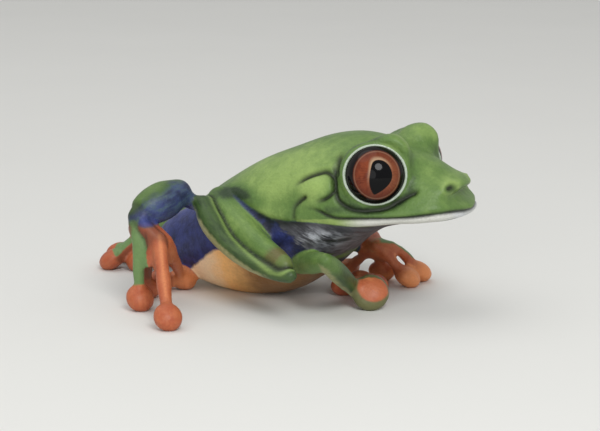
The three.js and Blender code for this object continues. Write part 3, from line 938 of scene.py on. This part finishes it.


# Most of these are painted light and shade: lighter on the back, nape, lobe, brow and snout, darker in
# shade along the back's lower edge by the thigh and round the eye.
TONES = (  # where the green is lighter or darker: middle, half sizes and by how much
    ((-2.0, -4.0, 15.5), (7.0, 9.0, 4.5), 0.5), ((3.5, -4.5, 18.0), (4.5, 5.0, 3.5), 0.55),
    ((-10.5, -5.0, 12.6), (2.5, 4.0, 2.0), -0.3), ((-6.2, -5.6, 13.8), (3.2, 3.0, 0.8), -1.6),
    ((-1.9, -7.0, 13.1), (2.8, 3.0, 0.8), -0.6),
    ((5.6, -8.2, 16.2), (2.4, 2.0, 1.5), 0.7), ((0.0, -8.0, 13.6), (4.0, 3.0, 2.0), 0.35),
    ((16.0, -5.0, 21.6), (2.6, 3.0, 1.6), 0.5), ((21.6, -3.0, 17.4), (1.8, 3.0, 1.0), 0.35),
    ((17.9, -6.2, 16.2), (1.6, 2.5, 2.2), -0.1), ((10.0, -9.0, 13.6), (5.0, 2.0, 0.9), -0.4),
    ((-1.0, 0.0, 20.2), (8.0, 3.0, 1.6), -0.5), ((2.8, -7.8, 13.8), (1.8, 2.5, 2.0), -0.5),
    ((8.3, -7.5, 15.5), (0.8, 2.5, 2.5), -0.5), ((16.0, -6.8, 14.9), (1.6, 2.0, 0.8), -0.35),
    ((16.5, -3.0, 20.4), (2.5, 2.0, 1.0), -0.25),
)


def toned(points):
    """Light and dark of the green skin, mostly painted light and shade: the sum of bell curves round
    the middles of TONES, a ring of painted shade outside each lid and a painted highlight on the
    rim round each nostril."""
    right = on_right(points)
    tone = sum(much * bell(right, centre, half) for centre, half, much in TONES)
    for side in (-1, 1):
        offset, height, across = from_lids(points, side)
        # Painted shade in a ring outside each lid.
        tone -= 0.5 * dent(across - 4.7, 0.6) * smooth(height, -2.0, 0.0)
    # Painted highlight on the raised rim round each nostril.
    return tone + 0.4 * dent(nostril_gap(right) - 0.75, 0.25)


# ---------- shaders ----------
def srgb(red, green, blue):
    """A screen colour of 0 to 255 as the light it stands for."""
    return tuple(
        c / 12.92 if c <= 0.04045 else ((c + 0.055) / 1.055) ** 2.4
        for c in (red / 255, green / 255, blue / 255)
    )


def maths(operation, turned=False):
    """A method that adds a Math node on the wire and another value, or on them turned round."""

    def method(self, other):
        """The two joined by this operation."""
        values = (other, self) if turned else (self, other)
        return self.node("Math", {"operation": operation}, dict(enumerate(values)))

    return method


class Wire:
    """A socket of a shader tree. Arithmetic on it adds Math nodes; node() adds any other."""

    __add__ = __radd__ = maths("ADD")
    __mul__ = __rmul__ = maths("MULTIPLY")
    __sub__, __rsub__ = maths("SUBTRACT"), maths("SUBTRACT", True)
    __truediv__, __rtruediv__ = maths("DIVIDE"), maths("DIVIDE", True)
    __pow__ = maths("POWER")
    least, most = maths("MINIMUM"), maths("MAXIMUM")

    def __init__(self, tree, socket=None):
        self.tree = tree
        self.socket = socket

    def node(self, kind, settings=None, sockets=None, output=0):
        """Adds a node, sets it, then gives each named or numbered socket its value or its link."""
        made = self.tree.nodes.new("ShaderNode" + kind)
        for name, value in (settings or {}).items():
            setattr(made, name, value)
        for name, value in (sockets or {}).items():
            if isinstance(value, Wire):
                self.tree.links.new(value.socket, made.inputs[name])
            else:
                made.inputs[name].default_value = value
        return Wire(self.tree, made.outputs[output] if len(made.outputs) else None)

    def size(self):
        """The number without its sign."""
        return self.node("Math", {"operation": "ABSOLUTE"}, {0: self})

    def between(self, low, high):
        """0 at low, 1 at high, smoothly between."""
        return self.node(
            "MapRange", {"interpolation_type": "SMOOTHSTEP"},
            {"Value": self, "From Min": low, "From Max": high},
        )

    def mask(self, name):
        """One of the mesh's own numbers."""
        return self.node("Attribute", {"attribute_name": name}, output="Fac")

    def mixed(self, first, second, share):
        """Two colours mixed: first where share is 0, second where it is 1."""
        first, second = (c if isinstance(c, Wire) else (*c, 1) for c in (first, second))
        return self.node("Mix", {"data_type": "RGBA"}, {0: share, 6: first, 7: second}, 2)

    def under(self, coat, share):
        """This colour with as much of another over it."""
        return self.mixed(self, coat, share)

    def noise(self, place, size, detail=3.0, rough=0.5):
        """Noise round 0.5 whose lumps are about size millimetres across."""
        sockets = {"Vector": place, "Scale": 1 / size, "Detail": detail, "Roughness": rough}
        return self.node("TexNoise", None, sockets)


def new_material(name):
    """An empty material, a wire to build it with, and its place in millimetres."""
    material = bpy.data.materials.new(name)
    material.use_nodes = True
    material.node_tree.nodes.clear()
    start = Wire(material.node_tree)
    place = start.node("TexCoord", None, None, "Object")
    place = start.node("VectorMath", {"operation": "SCALE"}, {0: place, "Scale": 1000.0})
    return material, start, place


def finish_material(start, colour, roughness, height, depth, constants):
    """Joins a surface's colour, roughness and height to one shader and the output."""
    sockets = {"Base Color": colour, "Roughness": roughness, **constants}
    if height is not None:
        sockets["Normal"] = start.node(
            "Bump", None, {"Strength": 1.0, "Distance": depth, "Height": height}
        )
    shader = start.node("BsdfPrincipled", None, sockets)
    start.node("OutputMaterial", None, {"Surface": shader})


def skin_material(look):
    """Moist skin: leaf green, deep blue flank, tan belly, grey throat, white lip, orange digits, with
    painted light and shade in its colour.
    """
    material, start, place = new_material("frog_skin")
    wide, mid, fine = (start.noise(place, size) for size in (5.0, 1.2, 0.28))
    ragged = (mid - 0.5) * 0.4 + (fine - 0.5) * 0.15

    def patch(name, soft=0.12, rough=1.0):
        """1 inside one of the markings and 0 outside it, with a ragged soft edge."""
        return (start.mask(name) + ragged * rough).between(-soft, soft)

    mottle = ((wide - 0.5) * 1.3 + (mid - 0.5) * 0.9 + 0.5).between(0.0, 1.0)
    along = start.node("Attribute", {"attribute_name": "along"}, output="Vector")
    fibre = start.noise(along, 0.9, 4.0, 0.6)
    stroke = fibre.between(0.36, 0.64)
    # The tone mask holds painted light and shade; mottle and strokes add random tone.
    tone = start.mask("tone") + mottle * 0.4 + stroke * 0.2 - 0.15
    colour = start.mixed(look.green, look.green_light, tone.between(-0.1, 1.1))
    colour = colour.under(look.green_dark, (-0.75 * tone).between(0.0, 0.6))
    # The dark mask: darker green of shins, forearms and tarsi, partly painted shade.
    colour = colour.under(look.green_dark, start.mask("dark") * (0.7 + stroke * 0.3))
    # Painted highlight on the top edges of shins and forearms.
    colour = colour.under(look.green_light, start.mask("light") * 0.8)
    colour = colour.under(look.inner, patch("inner", 0.2))

    x = start.mask("ahead")
    cloud = (wide - 0.5) * 1.3 + (mid - 0.5) * 0.9 + (stroke - 0.5) * 0.3 + 0.35
    cloud = cloud + x.between(-7.0, -1.0) * 0.35
    blue = start.mixed(look.blue, look.blue_dark, cloud.between(0.0, 1.0))
    brushed = start.mask("blue") + ragged * 0.8 + (stroke - 0.5) * 0.15
    colour = colour.under(blue, brushed.between(-0.3, 0.3))

    ahead = x + (mid - 0.5) * 2.5
    tan = start.mixed(look.tan, look.tan_warm, ahead.between(-11.0, -7.5))
    # Painted shade: the belly darker towards the chest, under the body.
    tan = tan.under(look.tan_shade, ahead.between(-8.5, -2.5))
    colour = colour.under(tan, patch("belly", 0.3, 1.6))

    slanted = ((0.3, 0.0, -0.12), (0.45, 0.0, 1.1), (0.0, 0.4, 0.0))  # ways of the throat's streaks
    slant = start.node("CombineXYZ", None, {
        k: start.node("VectorMath", {"operation": "DOT_PRODUCT"}, {0: place, 1: way}, output="Value")
        for k, way in enumerate(slanted)
    })
    streaks = start.noise(slant, 0.8, 4.0, 0.6)
    throat = start.mixed(look.throat_dark, look.throat, streaks.between(0.32, 0.68))
    throat = throat.under(look.throat_light, streaks.between(0.4, 0.66) * start.mask("pale"))
    shadow = (1.6 - start.mask("throat")).between(0.0, 1.4) * 0.7
    shadow = shadow.most(x.between(4.6, 2.6) * 0.8).most(x.between(9.5, 13.5) * 0.5)
    throat = throat.under(look.throat_dark, shadow)
    chest = (start.mask("chest") + (streaks - 0.5) * 6.0 + (mid - 0.5) * 1.5).between(-0.3, 0.6)
    colour = colour.under(throat, patch("throat", 0.2) * chest)
    lip = start.mixed(look.lip_back, look.lip, x.between(9.0, 13.5))
    lip = lip.under(look.throat_light, x.between(20.5, 23.0) * mottle)
    colour = colour.under(lip, patch("lip", 0.1, 0.35))

    # Painted light: the bright mask lightens the orange, with highlights along the digits and on the
    # far hand.
    flame = (mottle * 0.7 + stroke * 0.25 + start.mask("bright") - 0.05).least(1.0).most(0.0)
    orange = start.mixed(look.orange, look.orange_light, flame)
    orange = orange.under(look.orange_pale, start.mask("bright").between(0.3, 1.6))
    colour = colour.under(orange, patch("digit", 0.2))
    # Painted shade in brown under and between the digits and at the thigh's end.
    colour = colour.under(look.brown_shade, patch("brown_shade", 0.5) * 0.8)
    colour = colour.under(look.rim, patch("rim", 0.2))
    colour = colour.under(look.strip, patch("strip", 0.12, 0.7))
    colour = colour.under(look.cream, patch("cream", 0.18, 0.9))
    # Painted shade: dark at the bottom of the folds, in the mouth line and nostril pits, in the
    # grooves between parts and under the flank's edge.
    colour = colour.under(look.crease, (start.mask("crease") * 1.15).least(0.92))
    speckle = (fine - 0.5) * 0.3 + 1.0
    colour = start.node("VectorMath", {"operation": "SCALE"}, {0: colour, "Scale": speckle})

    grain = start.node("TexVoronoi", {"feature": "SMOOTH_F1"},
                       {"Vector": place, "Scale": 3.2, "Smoothness": 0.6})
    height = start.noise(place, 0.6, 2.0) * 0.5 + (1 - grain) * 0.35 + fine * 0.25
    roughness = 0.46 + (mid - 0.5) * 0.2 + start.mask("crease") * 0.1
    finish_material(start, colour, roughness, height, 0.00009, {
        "IOR": 1.4, "Coat Weight": 0.08, "Coat Roughness": 0.3,
    })
    return material


def eye_material(look):
    """A wet eye: upright almond pupil with a gold rim, red iris of fine fibres, black outer ring. The
    iris carries painted light and shade, and the gold rim a painted highlight.
    """
    material, start, place = new_material("frog_eye")
    at = start.node("Attribute", {"attribute_name": "iris"}, output="Vector")
    across = start.node("SeparateXYZ", None, {0: at}, 0)
    up = start.node("SeparateXYZ", None, {0: at}, 1)
    out = (across * across + up * up * 0.92) ** 0.5
    turned = start.node("Math", {"operation": "ARCTAN2"}, {0: up, 1: across})
    spokes = start.node("CombineXYZ", None, {0: turned * 5.0, 1: out * 0.6, 2: 0.0})
    fibre = start.noise(spokes, 0.35, 3.0, 0.6)
    blotch = start.noise(place, 0.9, 2.0)
    px, pz = across - look.pupil_ahead, up - look.pupil_up
    tall = pz / look.pupil_tall
    lean = (px + tall * tall * 0.5 - tall * 0.25).size() / look.pupil_wide
    power = 1.83 + 0.38 * (tall * 1.2).most(-1.0).least(1.0)
    level = (lean**power + tall.size() ** power) ** (1 / power)
    inside = (1 - level) * 1.5
    hole = inside.between(-0.03, 0.05)
    rim = inside.between(-0.4, -0.02) * (1 - hole)
    lit = (across * 0.3 + up * 0.1 + 0.4).between(0.0, 1.0)
    flecks = (fibre * 0.6 + blotch * 0.5).between(0.3, 0.75)
    iris = start.mixed(look.iris_deep, look.iris, flecks)
    iris = iris.under(look.iris_warm, lit * fibre * 0.6)
    iris = iris.under(look.iris_deep, out.between(2.1, 3.0) * 0.6)
    # Painted shade: the iris darker towards its bottom; it is also darker towards its top.
    iris = iris.under(look.iris_deep, (up * -0.6 - 0.6).between(0.0, 1.0) * 0.7)
    iris = iris.under(look.iris_deep, (up * 0.6 - 0.6).between(0.0, 1.0) * 0.5)
    # The pupil's gold rim is strongest at its top and rear, as a painted highlight.
    crest = (tall * 0.7 - px * 0.2 + 0.15).between(0.0, 1.0)
    iris = iris.under(look.gold, rim * (crest * 0.55 + 0.04))
    edge = (out + (fibre - 0.5) * 0.12).between(look.iris_radius - 0.14, look.iris_radius + 0.08)
    line = 1 - ((out - look.iris_radius + 0.16).size() * 9.0).least(1.0)
    iris = iris.under(look.gold, line * 0.2)
    colour = start.mixed(iris, look.ring, edge)
    colour = colour.under(look.pupil, hole)
    finish_material(start, colour, 0.3 + 0.1 * fibre, None, 0, {
        "IOR": 1.4, "Specular IOR Level": 0.0, "Coat Weight": 1.0, "Coat Roughness": 0.07,
        "Coat IOR": 1.26,
    })
    return material


def lid_material(look):
    """The thin pale roll of bare skin along the edge of the lids."""
    material, start, place = new_material("frog_lid_edge")
    fine = start.noise(place, 0.3, 3.0)
    colour = start.mixed(look.lid, look.lid_shade, fine.between(0.45, 0.8))
    finish_material(start, colour, 0.3 + fine * 0.1, fine, 0.00004, {
        "IOR": 1.4, "Coat Weight": 0.3, "Coat Roughness": 0.15,
    })
    return material


def floor_material(look):
    """A matt pale floor with the faintest unevenness."""
    material, start, place = new_material("studio_floor")
    cloud = start.noise(place, 40.0, 3.0)
    colour = start.mixed(look.floor, tuple(c * 0.96 for c in look.floor), cloud)
    finish_material(start, colour, 0.75 + cloud * 0.1, cloud, 0.0001, {"IOR": 1.45})
    return material


# ---------- what a user would change ----------
def number(name, description, default, **limits):
    """A number and its default."""
    return bpy.props.FloatProperty(name=name, description=description, default=default, **limits)


def paint(name, description, *value):
    """A colour with its screen value as the default."""
    return bpy.props.FloatVectorProperty(
        name=name, description=description, default=srgb(*value), subtype="COLOR", min=0, max=1
    )


class FrogSkinLook(bpy.types.PropertyGroup):
    """Fineness and colours of the skin."""

    voxel: number(
        "Voxel", "Size of the skin's faces before the head is refined, in mm", 0.34, min=0.2, max=1.0
    )
    rounds: bpy.props.IntProperty(
        name="Smoothing", description="Rounds of smoothing where one part joins the next",
        default=22, min=0, max=100,
    )
    green: paint("Green", "Side of the back and head", 88, 118, 56)
    # Light green: lighter mottling, painted light where the tone is high, and painted highlight on
    # shins and forearms.
    green_light: paint("Light green", "Lighter mottling of the back", 142, 168, 92)
    # Dark green: painted shade where the tone is low, and the darker green of shins, forearms and
    # tarsi, partly painted shade.
    green_dark: paint("Dark green", "Shins and forearms", 40, 60, 32)
    blue: paint("Blue", "Flank and rump", 56, 66, 128)
    blue_dark: paint("Dark blue", "Darker mottling of the flank", 24, 28, 48)
    tan: paint("Tan", "Belly", 252, 220, 180)
    tan_warm: paint("Warm tan", "Belly at the middle of the flank", 250, 192, 120)
    # Dark tan is painted shade on the belly under the chest.
    tan_shade: paint("Dark tan", "Belly under the chest", 138, 100, 62)
    inner: paint("Inner leg", "Hidden sides of the legs", 48, 56, 96)
    throat: paint("Throat", "Throat and chest", 104, 105, 110)
    throat_dark: paint("Dark throat", "Shaded part of the throat", 56, 56, 61)
    throat_light: paint("Pale throat", "Streaks on the throat", 204, 208, 216)
    lip: paint("Lip", "Front of the lower lip", 206, 206, 198)
    lip_back: paint("Lip corner", "Lower lip towards the ear", 132, 154, 84)
    orange: paint("Orange", "Hands and feet", 162, 74, 44)
    # Pale orange is painted light: highlights along the digits' ridges and the lit far discs.
    orange_pale: paint("Pale orange", "Ridges of the digits and the far discs", 240, 156, 96)
    # Light orange: lighter mottling of hands and feet, drawn also where the digits carry painted
    # light.
    orange_light: paint("Light orange", "Toe discs", 190, 112, 72)
    # Brown is painted shade: undersides and roots of the digits, the inner toes and the thigh's end.
    brown_shade: paint("Brown", "Undersides and roots of the digits", 96, 60, 44)
    rim: paint("Rim", "Back of the outer finger round its pad", 104, 104, 66)
    strip: paint("Green stripe", "Stripe along the outer digits", 104, 134, 80)
    cream: paint("Cream", "Edge of shins and forearms", 150, 150, 104)
    # Crease is painted shade at the bottom of the folds and in the grooves.
    crease: paint("Crease", "Bottom of the folds", 22, 30, 16)


class FrogEyeLook(bpy.types.PropertyGroup):
    """Sizes and colours of the eyes and the edges of their lids."""

    iris_radius: number("Iris radius", "From the eye's middle line, in mm", 2.93, min=2, max=3.6)
    pupil_wide: number("Pupil half width", "At its widest, in mm", 1.4, min=0.1, max=2.5)
    pupil_tall: number("Pupil half height", "In mm", 2.13, min=0.5, max=3)
    pupil_ahead: number("Pupil ahead", "Ahead of the iris's middle, in mm", 0.43)
    pupil_up: number("Pupil up", "Above the iris's middle, in mm", -0.28)
    rim_thick: number("Lid edge", "Half thickness of the pale edge, in mm", 0.175, min=0.1, max=0.6)
    iris: paint("Iris", "Red of the iris", 130, 64, 40)
    iris_deep: paint("Deep iris", "Darker fibres", 92, 40, 26)
    # Warm iris is painted light, where the iris is lit.
    iris_warm: paint("Warm iris", "Upper rear of the iris", 136, 88, 56)
    # Gold: the pupil's rim, with a painted highlight at its top.
    gold: paint("Gold", "Edge of the pupil", 196, 172, 140)
    ring: paint("Outer ring", "Dark ring inside the lids", 14, 10, 10)
    pupil: paint("Pupil", "The pupil", 6, 6, 8)
    lid: paint("Lid edge colour", "Pale edge of the lids", 178, 190, 174)
    lid_shade: paint("Lid edge shade", "Darker flecks of it", 150, 168, 140)


class FrogStudioLook(bpy.types.PropertyGroup):
    """Floor, lights and camera."""

    floor: paint("Floor", "Pale floor", 226, 226, 222)
    key_power: number("Key light", "Power of the key light, in watts", 0.95, min=0)
    front_power: number("Front light", "Power of the low front light, in watts", 0.4, min=0)
    fill_power: number("Fill light", "Power of the fill light, in watts", 0.5, min=0)
    sky: number("Surround", "Brightness of the pale surround", 0.55, min=0)
    azimuth: number(
        "Azimuth", "Camera round from the frog's right side", math.radians(26), subtype="ANGLE"
    )
    elevation: number(
        "Elevation", "Camera above the floor's level", math.radians(12), subtype="ANGLE"
    )
    distance: number("Distance", "Camera to the frog", 0.26, subtype="DISTANCE", unit="LENGTH")
    lens: number("Lens", "Focal length on a 36 mm sensor, in mm", 121.9)


# ---------- the makers ----------
class FROG_OT_skin(bpy.types.Operator):
    """Draw one skin over head, body, limbs and digits"""

    bl_idname = "frog.skin"
    bl_label = "Skin"

    def execute(self, context):
        look = context.scene.frog_skin
        mesh = united(*flesh(), look.voxel)
        x, y, z = read_points(mesh).T
        refine(mesh, (x > HEAD_X) & (z > HEAD_Z))
        edges = edges_of(mesh)
        points = evened(read_points(mesh), edges, 5)
        points = relaxed(points, edges, join_weight(points), look.rounds)
        points = socketed(head_shape(points))
        points = relaxed(points, edges, 0.3 + 0.6 * eye_rim(points), 4)
        gaps = part_gaps(points)
        moved, crease = folds(points, gaps)
        points = points + moved[:, None] * normals_of(mesh, points)
        points = opened(points)
        points[:, 2] = np.maximum(points[:, 2], 0)
        marks = markings(points, normals_of(mesh, points), gaps)
        marks.update(along=gaps["along"], crease=crease, tone=toned(points))
        for name, values in marks.items():
            keep(mesh, name, values)
        write_points(mesh, to_frame(points))
        nodes = [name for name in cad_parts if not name.endswith("_eye")]
        show("skin", mesh, nodes, skin_material(look))
        return {"FINISHED"}


class FROG_OT_eyes(bpy.types.Operator):
    """Make both eyeballs, each with its iris and pupil, as rings round the way it looks.
    The cornea swells by a tenth of a millimetre, and the skin of each holds the flat place of its
    points over the iris"""

    bl_idname = "frog.eyes"
    bl_label = "Eyes"

    def execute(self, context):
        material = eye_material(context.scene.frog_eye)
        theta = np.concatenate((np.linspace(0.01, 1.6, 56), np.linspace(1.65, 3.13, 16)))
        phi = turns(96)
        radius = EYE_RADIUS - 0.1 + 0.1 * dent(theta, 0.8)
        rho = np.where(theta < math.pi / 2, np.sin(theta), theta - math.pi / 2 + 1)
        theta, radius, rho = (v[:, None, None] for v in (theta, radius, rho))
        flat = EYE_RADIUS * rho * np.stack((np.cos(phi), np.sin(phi), 0 * phi), 1)
        iris = np.concatenate((flat.reshape(-1, 3), [(0, 0, 0), (9, 9, 0)]))
        for name, side in (("right", -1), ("left", 1)):
            eye, ahead = eye_frame(side, GAZE)
            forward = unit(np.cross((0, 0, 1.0), ahead)) * -side
            up = unit(np.cross(ahead, forward)) * -side
            ways = forward * np.cos(phi)[:, None] + up * np.sin(phi)[:, None]
            points, faces = closed(eye + radius * (np.cos(theta) * ahead + np.sin(theta) * ways))
            mesh = outward(mesh_of(f"{name}_eyeball", to_frame(points), faces))
            keep(mesh, "iris", iris)
            show(f"{name}_eyeball", mesh, (f"{name}_eye",), material)
        return {"FINISHED"}


class FROG_OT_lids(bpy.types.Operator):
    """Make the thin pale edge of the lids round each eye"""

    bl_idname = "frog.lids"
    bl_label = "Lid edges"

    def execute(self, context):
        look = context.scene.frog_eye
        material = lid_material(look)
        for name, side in (("right", -1), ("left", 1)):
            eye, way = eye_frame(side)
            level = unit(np.cross(way, (0, 0, 1.0)))
            up = np.cross(level, way)
            turn = turns(144)[:, None]
            ways = level * np.cos(turn) + up * np.sin(turn) * LID_SHARE
            middle_line = eye + LID_RADIUS * ways + LID_HEIGHT * way
            roll = turns(20)
            thick = look.rim_thick * (1 + 0.06 * np.sin(5 * turn + 1) + 0.04 * np.sin(13 * turn))
            rings = (
                middle_line[:, None]
                + (thick * np.cos(roll))[..., None] * ways[:, None]
                + (1.15 * thick * np.sin(roll))[..., None] * way
            )
            faces = quads(len(turn), len(roll), ring_rows=1).tolist()
            points = to_frame(rings.reshape(-1, 3))
            mesh = outward(mesh_of(f"{name}_lid_edge", points, faces))
            show(f"{name}_lid_edge", mesh, (), material)
        return {"FINISHED"}


class FROG_OT_studio(bpy.types.Operator):
    """Make the pale floor, the soft lights and the camera"""

    bl_idname = "frog.studio"
    bl_label = "Studio"

    def execute(self, context):
        scene = context.scene
        look = scene.frog_studio
        scene.view_settings.view_transform = "Standard"
        side = np.linspace(-FLOOR_REACH, FLOOR_REACH, 13)
        x, y = (v.ravel() for v in np.meshgrid(side, side, indexing="ij"))
        faces = quads(len(side), len(side), ring_columns=0)[:, ::-1].tolist()
        mesh = mesh_of("floor", np.stack((x, y, 0 * x), 1), faces)
        mesh.materials.append(floor_material(look))
        linked("floor", mesh)
        world = bpy.data.worlds.new("surround")
        world.use_nodes = True
        surround = world.node_tree.nodes["Background"].inputs
        surround["Color"].default_value = (1, 1, 1, 1)
        surround["Strength"].default_value = look.sky
        scene.world = world

        target = to_frame(LOOK_AT)
        a, e = look.azimuth, look.elevation
        back = np.array((math.sin(a) * math.cos(e), -math.cos(a) * math.cos(e), math.sin(e)))
        across = np.array((math.cos(a), math.sin(a), 0.0))
        up = np.cross(back, across)

        def aimed(name, data, place):
            """A new object at a place, looking at the frog."""
            thing = linked(name, data)
            thing.location = place
            thing.rotation_euler = (Vector(target) - Vector(place)).to_track_quat("-Z", "Y").to_euler()
            return thing

        def lamp(name, mix, far, size, power):
            """A round soft light in a direction given across, up and towards the camera."""
            light = bpy.data.lights.new(name, "AREA")
            light.shape, light.size, light.energy = "DISK", size, power
            way = across * mix[0] + up * mix[1] + back * mix[2]
            aimed(name, light, target + unit(way) * far)

        lamp("key", (0.21, 0.5, 0.84), 0.45, 0.2, look.key_power)
        lamp("front", (-0.3, 0.0, 1.0), 0.5, 0.35, look.front_power)
        lamp("overhead", (-0.35, 0.9, 0.1), 0.5, 0.5, look.fill_power)
        camera = bpy.data.cameras.new("camera")
        camera.lens = look.lens
        camera.clip_start, camera.clip_end = 0.01, 10
        scene.camera = aimed("camera", camera, target + back * look.distance)
        return {"FINISHED"}


class FROG_PT_maker(bpy.types.Panel):
    """The makers and what they take, in the 3D view's sidebar"""

    bl_label = "Frog"
    bl_space_type = "VIEW_3D"
    bl_region_type = "UI"
    bl_category = "Frog"

    def draw(self, context):
        for maker, group in MAKERS:
            box = self.layout.box()
            box.operator(maker.bl_idname)
            if group:
                settings = getattr(context.scene, group)
                for name in settings.__annotations__:
                    box.prop(settings, name)


MAKERS = (
    (FROG_OT_skin, "frog_skin"),
    (FROG_OT_eyes, "frog_eye"),
    (FROG_OT_lids, None),
    (FROG_OT_studio, "frog_studio"),
)
LOOKS = {"frog_skin": FrogSkinLook, "frog_eye": FrogEyeLook, "frog_studio": FrogStudioLook}
CLASSES = (*LOOKS.values(), *(maker for maker, _ in MAKERS), FROG_PT_maker)


def register():
    """Adds the classes, and the settings to every scene."""
    for kind in CLASSES:
        bpy.utils.register_class(kind)
    for name, kind in LOOKS.items():
        setattr(bpy.types.Scene, name, bpy.props.PointerProperty(type=kind))


def unregister():
    """Takes away what register added."""
    for name in LOOKS:
        delattr(bpy.types.Scene, name)
    for kind in reversed(CLASSES):
        bpy.utils.unregister_class(kind)


def main():
    """Makes every piece."""
    register()
    for maker, _ in MAKERS:
        group, name = maker.bl_idname.split(".")
        getattr(getattr(bpy.ops, group), name)()


if __name__ == "__main__":
    main()
